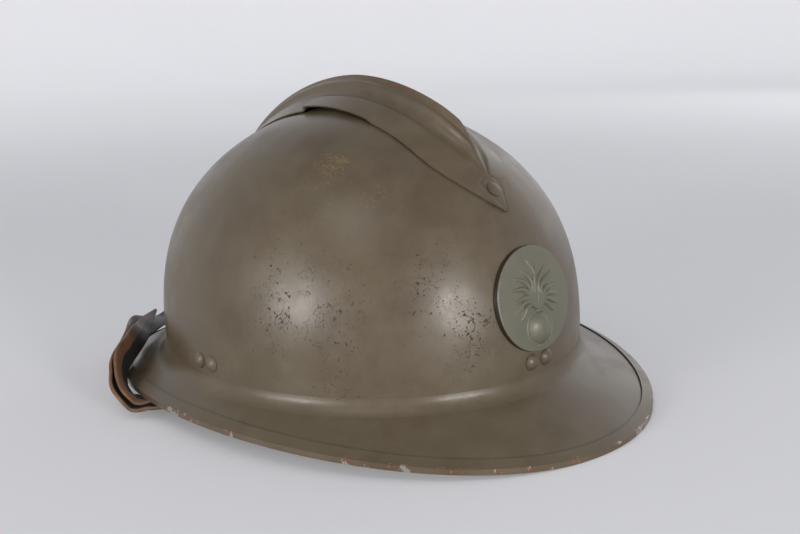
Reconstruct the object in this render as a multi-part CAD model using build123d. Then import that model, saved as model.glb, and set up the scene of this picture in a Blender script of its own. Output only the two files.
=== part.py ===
from build123d import *
import os
from math import asin, cos, degrees, hypot, pi, radians, sin, tan

# A comb helmet of pressed steel, with its leather liner and its chinstrap stowed over the rear brim.
# Lengths are in millimetres, angles in degrees. The wearer faces -Y and +Z is up, so the wearer's
# right is -X. Zero is the table under the rim, in the middle of the head opening.
# Round pieces are turned about Z and then stretched along Y into the helmet's oval.
# Heights of pieces on the dome are measured up from the crease where the dome meets the brim.

# Shell
dome_width = 189.5
dome_length = 216.0
dome_rise = 114.7
dome_foot = 8.0
dome_crown_power = 1.82
dome_shoulder_power = 2.53
shell_sheet = 0.9
brim_angle = 26.5
crease_radius = 7.0
brim_end_reach = 39.5
brim_side_reach = 16.25
vent_slot_length = 62.0
vent_slot_width = 11.0

# Rim binding, a strip folded over the brim's edge
binding_sheet = 0.5
binding_width = 4.8
rest_cut = 0.45

# Crest, measured round a line across the helmet, in degrees from straight up
crest_centre_height = 26.4
crest_front_tip_angle = 63.4
crest_rear_tip_angle = 80.0
crest_sheet = 0.8
crest_width = 43.0
crest_height = 13.1
crest_ledge_width = 24.0
crest_ledge_height = 5.0
crest_shoulder_width = 10.0
crest_shoulder_height = 10.4
crest_cap_share = 0.62
crest_tip_angle = 22.0
crest_tip_power = 0.8
crest_step_angle = 5.6
crest_gap = 0.25
crest_corner_share = 0.5
louver_front_angle = 20.7
louver_rear_angle = 9.9
louver_lift = 1.8
louver_end_angle = 0.9
crest_rivet_angle = 6.0
crest_rivet_head = 7.2
crest_rivet_head_height = 0.7
crest_rivet_shank = 3.6
crest_rivet_tail = 6.5
crest_rivet_tail_height = 1.0

# Badge, a round stamped plate with a flaming ball
badge_diameter = 44.5
badge_height = 36.8
badge_sheet = 0.8
badge_gap = 0.35
badge_edge_round = 0.3
badge_relief = 0.9
ball_radius = 7.0
ball_cap_height = 2.8
ball_drop = 12.4
flame_root_drop = 4.4
flame_root_length = 3.0
flame_width = 3.6
flame_count = 9
flame_fan_angle = 148.0
flame_reach_share = 0.86
flame_short_share = 0.82
flame_lean_share = 0.55
flame_left_share = 0.42
flame_right_share = 0.30
prong_spacing = 16.0
prong_width = 4.0
prong_sheet = 0.5
prong_foot_length = 6.0
prong_fold_length = 6.0

# Rivets of the liner and of the strap's bails
rivet_height = 10.4
rivet_spacing = 9.2
rivet_head = 7.2
rivet_head_height = 1.9
rivet_shank = 3.8
rivet_tail = 6.0
rivet_tail_height = 1.1

# Liner brackets, hoop and spacers. An inset is a depth in from the shell's outer face.
bracket_width = 22.0
bracket_sheet = 0.8
bracket_low = 3.4
bracket_top = 18.4
bracket_leg_drop = 8.0
hoop_inset = 8.0
hoop_sheet = 0.6
hoop_low = 3.9
hoop_top = 25.4
hoop_rivet_shank = 2.4
hoop_rivet_head = 4.4
hoop_rivet_head_height = 0.7
spacer_sheet = 0.8
spacer_low = 4.9
spacer_top = 22.4
spacer_gap = 0.5
spacer_span_angle = 30.0
spacer_waves = 5
spacer_flat_share = 0.45

# Soft liner
felt_thickness = 2.6
felt_top = 26.4
sweatband_thickness = 1.5
sweatband_low = 1.9
sweatband_top = 26.9
tongue_count = 7
tongue_thickness = 1.3
tongue_root_gap = 8.4
tongue_tip_gap = 8.0
tongue_arc_angle = 90.0
crown_space = 29.6
soft_gap = 0.2
drawstring_radius = 26.0
drawstring_diameter = 2.2
hem_gap = 0.35
knot_diameter = 6.4
drawstring_end_length = 16.0
drawstring_end_spread_angle = 24.0

# Bails of the chinstrap, wire loops that hang in rolled eyes
bail_wire = 2.4
bail_width = 20.0
bail_drop = 10.5
bail_corner = 3.0
bail_plate_sheet = 0.8
bail_plate_top = 15.9
bail_plate_width = 18.0
bail_eye_drop = 0.4
bail_eye_length = 12.0
hinge_gap = 0.08

# Chinstrap
strap_width = 14.0
strap_thickness = 2.0
strap_gap = 0.3
strap_rear_radius = 200.0
strap_rear_clearance = 21.0
strap_rear_rise = 8.1
strap_rear_lean = 84.0
strap_rear_half_angle = 7.5
strap_smooth_steps = 3
strap_lap_rise_share = 0.25
strap_lap_bow_shares = (-0.14, -0.10, -0.06)
strap_lap_lean_shares = (-0.35, -0.9, 0.0)
slider_length = 9.0
slider_sheet = 1.0
slider_gap = 0.35
slider_bar = 2.0

# Fits and steps
fit_gap = 0.15
overrun = 12.0
seam_angle = 20.0
slope_step_share = 0.001
search_steps = 60

# Places worked out from the sizes above
half_width = dome_width / 2
oval_ratio = dome_length / dome_width
rim_width = dome_width + 2 * brim_side_reach
rim_length = dome_length + 2 * brim_end_reach
front_radius = rim_length / 2 / oval_ratio
fold_stack = shell_sheet + fit_gap + binding_sheet
rim_drop = (front_radius - half_width) * tan(radians(brim_angle))
crease_height = rim_drop + fold_stack / cos(radians(brim_angle)) - rest_cut
crown_height = crease_height + dome_rise
bracket_inset = shell_sheet + fit_gap
bracket_inner_inset = bracket_inset + bracket_sheet
bail_plate_inset = bracket_inner_inset + fit_gap
hoop_inner_inset = hoop_inset + hoop_sheet
felt_inset = hoop_inner_inset + soft_gap
felt_inner_inset = felt_inset + felt_thickness
sweatband_inset = felt_inner_inset + soft_gap
sweatband_inner_inset = sweatband_inset + sweatband_thickness
bail_eye_radius = bail_wire / 2 + hinge_gap + bail_plate_sheet
bail_eye_inset = bail_plate_inset + bail_eye_radius
tongue_root = sweatband_top + soft_gap
tongue_rise = dome_rise - tongue_root - crown_space
strap_rear_reach = dome_length / 2 + strap_rear_clearance

# Shares of the dome's rise at which its curve is worked out
dome_rise_shares = (0.0, 0.14, 0.28, 0.42, 0.55, 0.67, 0.78, 0.87, 0.94, 0.985, 1.0)

# The comb's nose, from its tip inwards: degrees from the tip, then shares of the ledge's width and
# height, of the shoulder's width and height and of the comb's height. Below the first rise it is flat.
nose_shares = (
    (10.2, 0.14, 0.44, 0.11, 0.24, 0.20),
    (12.0, 0.30, 0.60, 0.16, 0.34, 0.28),
    (15.0, 0.57, 0.78, 0.20, 0.46, 0.39),
    (19.0, 0.73, 0.86, 0.28, 0.74, 0.62),
    (22.0, 0.82, 0.90, 0.52, 0.85, 0.83),
    (25.0, 0.88, 0.92, 0.70, 0.91, 0.97),
    (30.0, 0.92, 0.94, 0.80, 0.95, 1.0),
    (36.0, 0.96, 0.97, 0.90, 0.98, 1.0),
)
nose_flat_angles = (0.0, 1.5, 3.5, 8.6)
nose_flat_ledge_share = 0.55
nose_flat_shoulder_share = 0.28
nose_tip_share = 0.05

# The strap's way round the rear brim: degrees round the rim from the front, shares of the strap's
# width out from the rim's edge and up from its top, and the lean of the strap out of upright.
strap_way_shares = (
    (97.0, -0.76, -0.06, 114.0),
    (101.0, -0.36, -0.33, 98.0),
    (103.5, 0.10, -0.40, 84.0),
    (106.2, 0.50, -0.14, 46.0),
    (111.5, 0.48, 0.10, 14.0),
    (115.0, 0.26, 0.46, 8.0),
    (119.0, -0.12, 0.68, 12.0),
    (124.0, -0.42, 0.89, 16.0),
    (131.0, -0.52, 0.94, 22.0),
    (138.0, -0.66, 1.0, 44.0),
    (147.0, -0.74, 0.9, 74.0),
    (156.0, -0.79, 0.74, 88.0),
)
# The free end inside it: how far along the way's rows, shares of the strap's width that it stands
# off and rises, its own width and its lean.
strap_tail_shares = (
    (0.0, -0.17, 0.0, 0.8, 0.0),
    (1.0, -0.19, 0.0, 0.55, 0.0),
    (2.0, -0.19, 0.0, 0.55, 0.0),
    (2.5, -0.20, 0.0, 0.62, -2.0),
    (3.0, -0.21, 0.0, 0.74, -3.0),
    (4.0, -0.21, 0.12, 0.9, 5.0),
    (5.0, -0.20, 0.22, 0.94, 6.0),
    (6.0, -0.20, 0.20, 0.94, 0.0),
    (7.0, -0.24, 0.14, 0.82, 12.0),
    (8.0, -0.32, 0.05, 0.66, 25.0),
    (8.8, -0.36, 0.02, 0.46, 15.0),
    (9.9, -0.44, -0.01, 0.12, 0.0),
)


def dome_radius(height, inset=0.0):
    """Half the dome's width at a height above the crease, before it is stretched into the oval."""
    share = (height - dome_foot) / (dome_rise - dome_foot - inset)
    share = min(max(share, 0.0), 1.0)
    return (half_width - inset) * (1 - share**dome_shoulder_power) ** (1 / dome_crown_power)


def dome_slope(height):
    """Change of the dome's radius with height, of its outer face."""
    step = dome_rise * slope_step_share
    return (dome_radius(height + step) - dome_radius(height - step)) / (2 * step)


def rim_top(x, y):
    """Height of the brim's upper face at a place in plan."""
    spread = hypot(x, y / oval_ratio)
    return crease_height - (spread - half_width) * tan(radians(brim_angle))


def oval(shape):
    return scale(shape, by=(1, oval_ratio, 1), about=(0, 0, 0))


def turned(outline):
    """A face drawn as radius and height, turned about Z from a start that no hole meets."""
    return Rot(0, 0, seam_angle) * revolve(Plane.XZ * outline, axis=Axis.Z)


def closed_face(*edges):
    return make_face(Curve() + list(edges))


def under_dome(inset, bottom):
    """Everything below the shell's face at an inset, down to a level, far past the rim."""
    angle = radians(brim_angle)
    centre_radius = half_width + crease_radius
    centre_height = crease_height + crease_radius / cos(angle) - crease_radius * tan(angle)
    bend = crease_radius + inset
    wall_foot = (half_width - inset, centre_height)
    brim_start = (centre_radius - bend * sin(angle), centre_height - bend * cos(angle))
    turn = radians(225 - brim_angle / 2)
    bend_middle = (centre_radius + bend * cos(turn), centre_height + bend * sin(turn))
    reach = front_radius + overrun
    brim_end = (reach, brim_start[1] - (reach - brim_start[0]) * tan(angle))
    rise = dome_rise - dome_foot - inset
    heights = [dome_foot + rise * share for share in dome_rise_shares]
    curve = [(dome_radius(height, inset), crease_height + height) for height in heights]
    outline = closed_face(
        Spline(*curve, tangents=((0, 1), (-1, 0))),
        Line(wall_foot, curve[0]),
        ThreePointArc(brim_start, bend_middle, wall_foot),
        Line(brim_end, brim_start),
        Line((reach, bottom), brim_end),
        Line((0, bottom), (reach, bottom)),
        Line(curve[-1], (0, bottom)),
    )
    return oval(turned(outline))


def rim_block(inset, bottom, top):
    """An upright oval block whose edge lies an inset inside the rim's outer edge."""
    face = Plane.XY.offset(bottom) * Ellipse(rim_width / 2 - inset, rim_length / 2 - inset)
    return extrude(face, amount=top - bottom)


def stretch(turn):
    """How much deeper a round inset becomes where the oval is stretched."""
    return oval_ratio if turn in (0, 180) else 1.0


def seat(turn, height, across=0.0):
    """A plane on the dome's outer face, facing out. Turn 0 is the front and 90 the wearer's left;
    across shifts it sideways along the face."""
    radius = dome_radius(height)
    angle = radians(turn) + asin(across * stretch(turn) / (radius * oval_ratio))
    place = (radius * sin(angle), -oval_ratio * radius * cos(angle), crease_height + height)
    normal = Vector(sin(angle), -cos(angle) / oval_ratio, -dome_slope(height))
    return Plane(origin=place, x_dir=Vector(0, 0, 1).cross(normal), z_dir=normal)


def sector_block(turn, width):
    """A block from the middle out to one side, to cut a width from a ring."""
    block = Box(width, rim_length, 2 * crown_height, align=(Align.CENTER, Align.MAX, Align.CENTER))
    return Rot(0, 0, turn) * block


def hole(plane, diameter):
    return plane * Cylinder(diameter / 2, 2 * hoop_inset)


def ring(points):
    """A ring whose outline is given as insets and heights."""
    outline = [(dome_radius(height) - inset, crease_height + height) for inset, height in points]
    return oval(turned(make_face(Polyline(*outline, close=True))))


def headed_rivet(head, head_height, shank, grip, tail, tail_height):
    """A rivet along Z: its head's underside at zero, its tail closed below the grip."""
    cap_radius = ((head / 2) ** 2 + head_height**2) / (2 * head_height)
    half_turn = asin(head / 2 / cap_radius) / 2
    cap_middle = (cap_radius * sin(half_turn), head_height - cap_radius * (1 - cos(half_turn)))
    corners = [(0, head_height), (0, -grip - tail_height), (tail / 2, -grip - tail_height)]
    if tail > shank:
        corners += [(tail / 2, -grip), (shank / 2, -grip)]
    corners += [(shank / 2, 0), (head / 2, 0)]
    cap = ThreePointArc((head / 2, 0), cap_middle, (0, head_height))
    return turned(closed_face(Polyline(*corners), cap))


def rivet_seats(turn):
    return [seat(turn, rivet_height, side * rivet_spacing / 2) for side in (-1, 1)]


def rivet_pairs(turns, grip):
    full = grip * stretch(turns[0]) + 3 * fit_gap
    rivet = headed_rivet(
        rivet_head, rivet_head_height, rivet_shank, full, rivet_tail, rivet_tail_height
    )
    placed = [plane.offset(fit_gap) * rivet for turn in turns for plane in rivet_seats(turn)]
    return Compound(placed)


# Crest


def shell_reach(x, angle):
    """Distance from the comb's cross line to the shell's outer face, in a plane at an angle."""
    low, high = 0.0, rim_length
    for _ in range(search_steps):
        reach = (low + high) / 2
        y = reach * sin(radians(angle))
        height = crest_centre_height + reach * cos(radians(angle))
        inside = height < dome_rise and hypot(x, y / oval_ratio) < dome_radius(height)
        low, high = (reach, high) if inside else (low, reach)
    return low


def crest_place(x, lift, angle):
    reach = shell_reach(x, angle) + lift
    height = crest_centre_height + reach * cos(radians(angle))
    return Vector(x, reach * sin(radians(angle)), crease_height + height)


def crest_half_width(from_tip):
    share = min(from_tip / crest_tip_angle, 1.0)
    full = max(sin(share * pi / 2) ** crest_tip_power, nose_tip_share)
    return crest_width / 2 * full


def crest_outline(from_tip, lifted):
    """Half the comb's outer section: its flange edge, ledge, shoulder and top, as width and lift."""
    edge = crest_half_width(from_tip)
    rest = crest_gap + crest_sheet
    if from_tip <= nose_flat_angles[-1]:
        ledge = (edge * nose_flat_ledge_share, rest)
        shoulder = (edge * nose_flat_shoulder_share, rest)
        top = rest
    else:
        shares = nose_row(from_tip)
        ledge = (crest_ledge_width / 2 * shares[1], crest_ledge_height * shares[2])
        shoulder = (crest_shoulder_width / 2 * shares[3], crest_shoulder_height * shares[4])
        top = crest_height * shares[5]
    return [(edge, rest + (louver_lift if lifted else 0.0)), ledge, shoulder, (0.0, top)]


def nose_row(from_tip):
    """The nose's shares at an angle from the tip, between the rows of the table."""
    rows = nose_shares + ((90.0, 1.0, 1.0, 1.0, 1.0, 1.0),)
    rows = rows + ((rim_length, 1.0, 1.0, 1.0, 1.0, 1.0),)
    for low, high in zip(rows, rows[1:]):
        if from_tip <= high[0]:
            part = max(from_tip - low[0], 0.0) / (high[0] - low[0])
            return [a + (b - a) * part for a, b in zip(low, high)]
    return rows[-1]


def inward(points, wall):
    """An open outline moved in by a wall, each corner along the mean of its sides' normals."""
    moved = []
    for index, (x, lift) in enumerate(points):
        sides = []
        for first, second in ((index - 1, index), (index, index + 1)):
            if first < 0 or second >= len(points):
                continue
            run = (points[second][0] - points[first][0], points[second][1] - points[first][1])
            length = hypot(*run)
            sides.append((run[1] / length, -run[0] / length))
        normal = (sum(side[0] for side in sides), sum(side[1] for side in sides))
        size = hypot(*normal)
        normal = (normal[0] / size, normal[1] / size)
        reach = wall / max(normal[0] * sides[0][0] + normal[1] * sides[0][1], crest_corner_share)
        moved.append((x - normal[0] * reach, lift - normal[1] * reach))
    return moved


def crest_section(angle, from_tip, lifted):
    """The comb's sheet where a plane through the cross line cuts it, as a closed wire."""
    outer = crest_outline(from_tip, lifted)
    rounded = crest_rounds(outer)
    mirrored = [(-x, lift) for x, lift in reversed(rounded[:-1])]
    inner = [(x, lift - crest_sheet) for x, lift in rounded + mirrored]
    steep = inward(rounded + mirrored, crest_sheet)
    inner = [inner[0]] + steep[1:-1] + [inner[-1]]
    loop = rounded + mirrored + list(reversed(inner))
    places = [crest_place(x, lift, angle) for x, lift in loop]
    return Wire.make_polygon(places, close=True)


def crest_rounds(outer):
    """The outline with points that hollow the cove between ledge and shoulder and round the cap."""
    edge, ledge, shoulder, top = outer
    cove = (
        ledge[0] + (shoulder[0] - ledge[0]) * crest_cap_share,
        ledge[1] + (shoulder[1] - ledge[1]) * (1 - crest_cap_share),
    )
    cap = (
        shoulder[0] * crest_cap_share,
        shoulder[1] + (top[1] - shoulder[1]) * (1 - (1 - crest_cap_share) ** 2),
    )
    return [edge, ledge, cove, shoulder, cap, top]


def crest_stations():
    """Angles of the comb's sections from the front tip, and whether the flange is lifted there."""
    total = crest_front_tip_angle + crest_rear_tip_angle
    louver = (crest_front_tip_angle - louver_front_angle, crest_front_tip_angle + louver_rear_angle)
    nose = list(nose_flat_angles) + [row[0] for row in nose_shares]
    angles = nose + [total - angle for angle in nose]
    edges = []
    for side, place in ((-1, louver[0]), (1, louver[1])):
        edges += [place + side * louver_end_angle / 2, place - side * louver_end_angle / 2]
    marks = sorted([nose[-1], total - nose[-1]] + edges)
    for low, high in zip(marks, marks[1:]):
        steps = int((high - low) / crest_step_angle)
        angles += [low + (high - low) * (step + 1) / (steps + 1) for step in range(steps)]
    angles = sorted(angles + edges)
    return [(angle, louver[0] < angle < louver[1], min(angle, total - angle)) for angle in angles]


def crest_seat(rear):
    tip = crest_rear_tip_angle if rear else -crest_front_tip_angle
    angle = tip - crest_rivet_angle if rear else tip + crest_rivet_angle
    place = crest_place(0.0, 0.0, angle)
    return seat(180 if rear else 0, place.Z - crease_height)


def make_crest():
    wires = []
    for angle, lifted, from_tip in crest_stations():
        wires.append(crest_section(angle - crest_front_tip_angle, from_tip, lifted))
    comb = Solid.make_loft(wires, ruled=True)
    for rear in (False, True):
        comb -= hole(crest_seat(rear), crest_rivet_shank + 2 * fit_gap)
    return comb


def make_crest_rivets():
    grip = shell_sheet + crest_gap + crest_sheet + 5 * fit_gap
    rivet = headed_rivet(
        crest_rivet_head,
        crest_rivet_head_height,
        crest_rivet_shank,
        grip,
        crest_rivet_tail,
        crest_rivet_tail_height,
    )
    lift = crest_gap + crest_sheet + 2 * fit_gap
    return Compound([crest_seat(rear).offset(lift) * rivet for rear in (False, True)])


# Shell and rim


def make_shell():
    sheet = under_dome(0, -overrun) - under_dome(shell_sheet, -2 * overrun)
    sheet &= rim_block(binding_sheet + fit_gap, -overrun, crown_height + overrun)
    for turn in (0, 90, 180, 270):
        for plane in rivet_seats(turn):
            sheet -= hole(plane, rivet_shank + 2 * fit_gap)
    for rear in (False, True):
        sheet -= hole(crest_seat(rear), crest_rivet_shank + 2 * fit_gap)
    for side in (-1, 1):
        slot = Box(prong_sheet + 4 * fit_gap, prong_width + 4 * fit_gap, 2 * hoop_inset)
        sheet -= badge_plane() * Pos(side * prong_spacing / 2, 0, 0) * slot
    vent = Rot(0, 0, 90) * SlotOverall(vent_slot_length, vent_slot_width)
    sheet -= extrude(Plane.XY.offset(crown_height - overrun) * vent, amount=2 * overrun)
    return sheet


def make_rim_binding():
    out = fit_gap + binding_sheet
    fold = under_dome(-out, -overrun) - under_dome(shell_sheet + out, -2 * overrun)
    fold &= rim_block(0, 0, crown_height)
    fold -= rim_block(binding_width, -overrun, crown_height)
    channel = under_dome(-fit_gap, -2 * overrun) - under_dome(shell_sheet + fit_gap, -3 * overrun)
    channel &= rim_block(binding_sheet, -2 * overrun, crown_height)
    return fold - channel


# Badge


def badge_plane():
    return seat(0, badge_height)


def flame(angle, length):
    """One wavy tongue of fire in the plate's own plane, its root towards the ball."""
    lean = sin(radians(angle)) * flame_width * flame_lean_share
    root = (0, 0)
    tip = (lean, length)
    left = (-flame_width / 2 + lean / 4, length * flame_left_share)
    right = (flame_width / 2 + lean / 4, length * flame_right_share)
    leaf = closed_face(ThreePointArc(root, left, tip), ThreePointArc(tip, right, root))
    return Pos(0, -flame_root_drop) * Rot(0, 0, -angle) * Pos(0, flame_root_length) * leaf


def make_badge_disc():
    plate = Pos(0, 0, badge_gap + badge_sheet / 2) * Cylinder(badge_diameter / 2, badge_sheet)
    top = badge_gap + badge_sheet
    plate = fillet(plate.edges().group_by(Axis.Z)[-1], badge_edge_round)
    cap_radius = (ball_radius**2 + ball_cap_height**2) / (2 * ball_cap_height)
    ball = Pos(0, -ball_drop, top + ball_cap_height - cap_radius) * Sphere(cap_radius)
    depth = badge_sheet / 2
    slab = Box(badge_diameter, badge_diameter, 2 * ball_cap_height)
    ball &= Pos(0, 0, top - depth + ball_cap_height) * slab
    plate += ball
    reach = badge_diameter / 2 * flame_reach_share
    for index in range(flame_count):
        share = index / (flame_count - 1)
        angle = share * flame_fan_angle - flame_fan_angle / 2
        length = (reach + flame_root_drop * cos(radians(angle))) - flame_root_length
        length *= 1 if index % 2 == 0 else flame_short_share
        tongue = extrude(flame(angle, length), amount=badge_relief + depth)
        plate += Pos(0, 0, top - depth) * tongue
    return badge_plane() * plate


def make_badge_prongs():
    across = prong_spacing / 2
    sag = across**2 / (dome_width / oval_ratio)
    fold_depth = sag + shell_sheet + 2 * fit_gap
    low = Align.MIN
    middle = Align.CENTER
    foot = Pos(-prong_sheet / 2, 0, badge_gap - prong_sheet) * Box(
        prong_foot_length, prong_width, prong_sheet, align=(low, middle, low)
    )
    stem = Pos(0, 0, -fold_depth - prong_sheet) * Box(
        prong_sheet, prong_width, fold_depth + prong_sheet + badge_gap, align=(middle, middle, low)
    )
    fold = Pos(prong_sheet / 2, 0, -fold_depth - prong_sheet) * Box(
        prong_fold_length, prong_width, prong_sheet, align=(Align.MAX, middle, low)
    )
    prong = Pos(across, 0, 0) * (foot + stem + fold)
    both = [badge_plane() * prong, badge_plane() * mirror(prong, about=Plane.YZ)]
    return Compound(both)


# Liner


def make_bracket(turn):
    """A clamped tab that steps in from the shell to the hoop and hooks over behind it."""
    outer = bracket_inset
    inner = hoop_inset - fit_gap
    under = bracket_top - bracket_sheet
    strip = ring(
        [
            (outer, bracket_low),
            (outer, bracket_top),
            (inner, bracket_top),
            (inner, bracket_top - bracket_leg_drop),
            (inner - bracket_sheet, bracket_top - bracket_leg_drop),
            (inner - bracket_sheet, under),
            (outer + bracket_sheet, under),
            (outer + bracket_sheet, bracket_low),
        ]
    )
    tab = strip & sector_block(turn, bracket_width)
    for plane in rivet_seats(turn):
        tab -= plane * Cylinder(
            rivet_shank / 2 + fit_gap, 2 * bail_plate_inset + 2 * bail_plate_sheet
        )
    return tab - hoop_rivet_hole(turn)


def hoop_rivet_plane(turn):
    """A plane on the hoop's outer face, in the middle of a bracket's leg."""
    plane = seat(turn, bracket_top - bracket_leg_drop / 2)
    return plane.offset(-hoop_inset * stretch(turn))


def hoop_rivet_hole(turn):
    return hoop_rivet_plane(turn) * Cylinder(hoop_rivet_shank / 2 + fit_gap, 4 * hoop_sheet)


def make_hoop():
    band = ring(
        [
            (hoop_inset, hoop_low),
            (hoop_inset, hoop_top),
            (hoop_inner_inset, hoop_top),
            (hoop_inner_inset, hoop_low),
        ]
    )
    for turn in (0, 90, 180, 270):
        band -= hoop_rivet_hole(turn)
    return band


def make_hoop_rivets():
    rivets = []
    for turn in (0, 90, 180, 270):
        leg = (bracket_sheet + fit_gap) * stretch(turn) + fit_gap
        rivet = headed_rivet(
            hoop_rivet_head,
            hoop_rivet_head_height,
            hoop_rivet_shank,
            leg,
            hoop_rivet_shank,
            hoop_sheet * stretch(turn),
        )
        rivets.append(hoop_rivet_plane(turn).offset(leg) * rivet)
    return Compound(rivets)


def make_spacer(turn):
    """A corrugated strip that keeps the hoop off the shell."""
    high = half_width - shell_sheet - spacer_gap
    low = half_width - hoop_inset + fit_gap + spacer_sheet
    step = spacer_span_angle / (2 * spacer_waves)
    corners = []
    for index in range(2 * spacer_waves + 1):
        face = high if index % 2 == 0 else low
        for side in (-1, 1):
            angle = radians(side * step * spacer_flat_share / 2 + (index - spacer_waves) * step)
            corners.append((face, angle))
    outer = [(face * sin(angle), -face * cos(angle)) for face, angle in corners]
    thin = [(face - spacer_sheet, angle) for face, angle in corners]
    inner = [(face * sin(angle), -face * cos(angle)) for face, angle in thin]
    outline = make_face(Polyline(*outer, *reversed(inner), close=True))
    floor = Plane.XY.offset(crease_height + spacer_low)
    strip = extrude(floor * outline, amount=spacer_top - spacer_low)
    return oval(Rot(0, 0, turn) * strip)


def make_felt():
    return ring(
        [
            (felt_inset, sweatband_low + sweatband_thickness + soft_gap),
            (felt_inset, felt_top),
            (felt_inner_inset, felt_top),
            (felt_inner_inset, sweatband_low + sweatband_thickness + soft_gap),
        ]
    )


def make_sweatband():
    """The leather round the head, folded out under the felt."""
    return ring(
        [
            (felt_inset, sweatband_low),
            (felt_inset, sweatband_low + sweatband_thickness),
            (sweatband_inset, sweatband_low + sweatband_thickness),
            (sweatband_inset, sweatband_top),
            (sweatband_inner_inset, sweatband_top),
            (sweatband_inner_inset, sweatband_low),
        ]
    )


def tongue_ring_height():
    return crease_height + tongue_root + tongue_rise - tongue_thickness / 2


def tongue_width(radius, gap):
    """Width of a tongue at a radius, less its gap to the next one."""
    return 2 * radius * tan(pi / tongue_count) - gap


def make_tongue(turn):
    """One leather tongue of the liner's crown, its tip hemmed round the drawstring."""
    root_radius = dome_radius(sweatband_top) - sweatband_inset
    run = root_radius - drawstring_radius
    centre = (drawstring_radius, crease_height + tongue_root)
    inner_run = run - tongue_thickness
    inner_rise = tongue_rise - tongue_thickness
    outer = EllipticalCenterArc(centre, run, tongue_rise, 0, arc_size=tongue_arc_angle)
    inner = EllipticalCenterArc(centre, inner_run, inner_rise, 0, arc_size=tongue_arc_angle)
    outline = closed_face(outer, inner, Line(outer @ 0, inner @ 0), Line(outer @ 1, inner @ 1))
    channel_radius = drawstring_diameter / 2 + hem_gap
    hem_place = Pos(drawstring_radius, tongue_ring_height())
    hem = hem_place * Circle(channel_radius + tongue_thickness)
    channel = hem_place * Circle(channel_radius)
    sheet = turned(outline + hem - channel)
    root_half = tongue_width(root_radius, tongue_root_gap) / 2
    tip_half = tongue_width(drawstring_radius, tongue_tip_gap) / 2
    plan = make_face(
        Polyline(
            (-tip_half, -drawstring_radius / 2),
            (tip_half, -drawstring_radius / 2),
            (tip_half, -drawstring_radius),
            (root_half, -root_radius),
            (root_half, -half_width),
            (-root_half, -half_width),
            (-root_half, -root_radius),
            (-tip_half, -drawstring_radius),
            close=True,
        )
    )
    return oval(Rot(0, 0, turn) * (sheet & extrude(plan, amount=crown_height)))


def make_drawstring():
    """The cord through the hems, knotted in the gap between the two rear tongues."""
    height = tongue_ring_height()
    loop = oval(Pos(0, 0, height) * Torus(drawstring_radius, drawstring_diameter / 2))
    knot_place = Pos(0, drawstring_radius * oval_ratio, height)
    cord = loop + knot_place * Sphere(knot_diameter / 2)
    for side in (-1, 1):
        end = Cylinder(
            drawstring_diameter / 2,
            drawstring_end_length,
            align=(Align.CENTER, Align.CENTER, Align.MAX),
        )
        cord += knot_place * Rot(0, -side * drawstring_end_spread_angle, 0) * end
    return cord


# Chinstrap


def bail_eye():
    """The hinge line of the right bail: the middle of its rolled eye."""
    radius = dome_radius(-bail_eye_drop) - bail_eye_inset
    return Vector(-radius, 0, crease_height - bail_eye_drop)


def bail_plane():
    return Plane(origin=bail_eye(), x_dir=(0, 1, 0), z_dir=(1, 0, 0))


def eye_rod(radius, length):
    return bail_plane() * Rot(0, 90, 0) * Cylinder(radius, length)


def make_bail_plate():
    outer = bail_plate_inset
    inner = bail_plate_inset + bail_plate_sheet
    points = [
        (outer, -bail_eye_drop),
        (outer, bail_plate_top),
        (inner, bail_plate_top),
        (inner, -bail_eye_drop),
    ]
    sheet = ring(points) & sector_block(270, bail_plate_width)
    keep_high = Pos(0, 0, crease_height + rivet_height - rivet_head / 2) * Box(
        rim_length, rim_length, rim_length, align=(Align.CENTER, Align.CENTER, Align.MIN)
    )
    sheet = (sheet & keep_high) + (sheet & sector_block(270, bail_eye_length))
    sheet += eye_rod(bail_eye_radius, bail_eye_length)
    sheet -= eye_rod(bail_wire / 2 + hinge_gap, bail_eye_length + 2 * bail_eye_radius)
    for plane in rivet_seats(270):
        sheet -= hole(plane, rivet_shank + 2 * fit_gap)
    return sheet


def make_bail():
    """A wire loop that hangs from its upper bar."""
    half = bail_width / 2
    corners = [(half, 0), (half, -bail_drop), (-half, -bail_drop), (-half, 0)]
    path = bail_plane() * FilletPolyline(*corners, close=True, radius=bail_corner)
    return sweep((path ^ 0) * Circle(bail_wire / 2), path=path)


def rim_station(turn, out_share, up_share, lean):
    """A place of the strap near the rim's edge, with the way it faces out and its lean."""
    angle = radians(turn)
    edge = Vector(-rim_width / 2 * sin(angle), -rim_length / 2 * cos(angle), 0)
    out = Vector(edge.X / rim_width**2, edge.Y / rim_length**2, 0).normalized()
    height = rim_top(edge.X, edge.Y) + up_share * strap_width
    place = edge + out * (out_share * strap_width) + Vector(0, 0, height)
    return place, out, lean


def upright(out, lean):
    return Vector(0, 0, cos(radians(lean))) + out * sin(radians(lean))


def rear_centre():
    height = rim_top(0, strap_rear_reach) + strap_rear_rise
    return Vector(0, strap_rear_reach - strap_rear_radius, height)


def rear_station(angle):
    """A place of the strap on its circle behind the dome, at an angle towards the wearer's right."""
    out = Vector(-sin(radians(angle)), cos(radians(angle)), 0)
    place = rear_centre() + out * strap_rear_radius
    return place, out, strap_rear_lean


def way_stations():
    """The single layer of the strap, from under the right brim to its circle behind the dome."""
    rows = [rim_station(*row) for row in strap_way_shares]
    rows.append(rear_station(strap_rear_half_angle))
    return [(place, upright(out, lean), 1.0) for place, out, lean in rows]


def smooth(values, place):
    """A value at a place in a list, on a smooth curve through its neighbours."""
    index = min(int(place), len(values) - 2)
    part = place - index
    first = values[max(index - 1, 0)]
    start = values[index]
    end = values[index + 1]
    last = values[min(index + 2, len(values) - 1)]
    return (
        start * 2
        + (end - first) * part
        + (first * 2 - start * 5 + end * 4 - last) * part**2
        + (start * 3 - first - end * 3 + last) * part**3
    ) * 0.5


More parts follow.
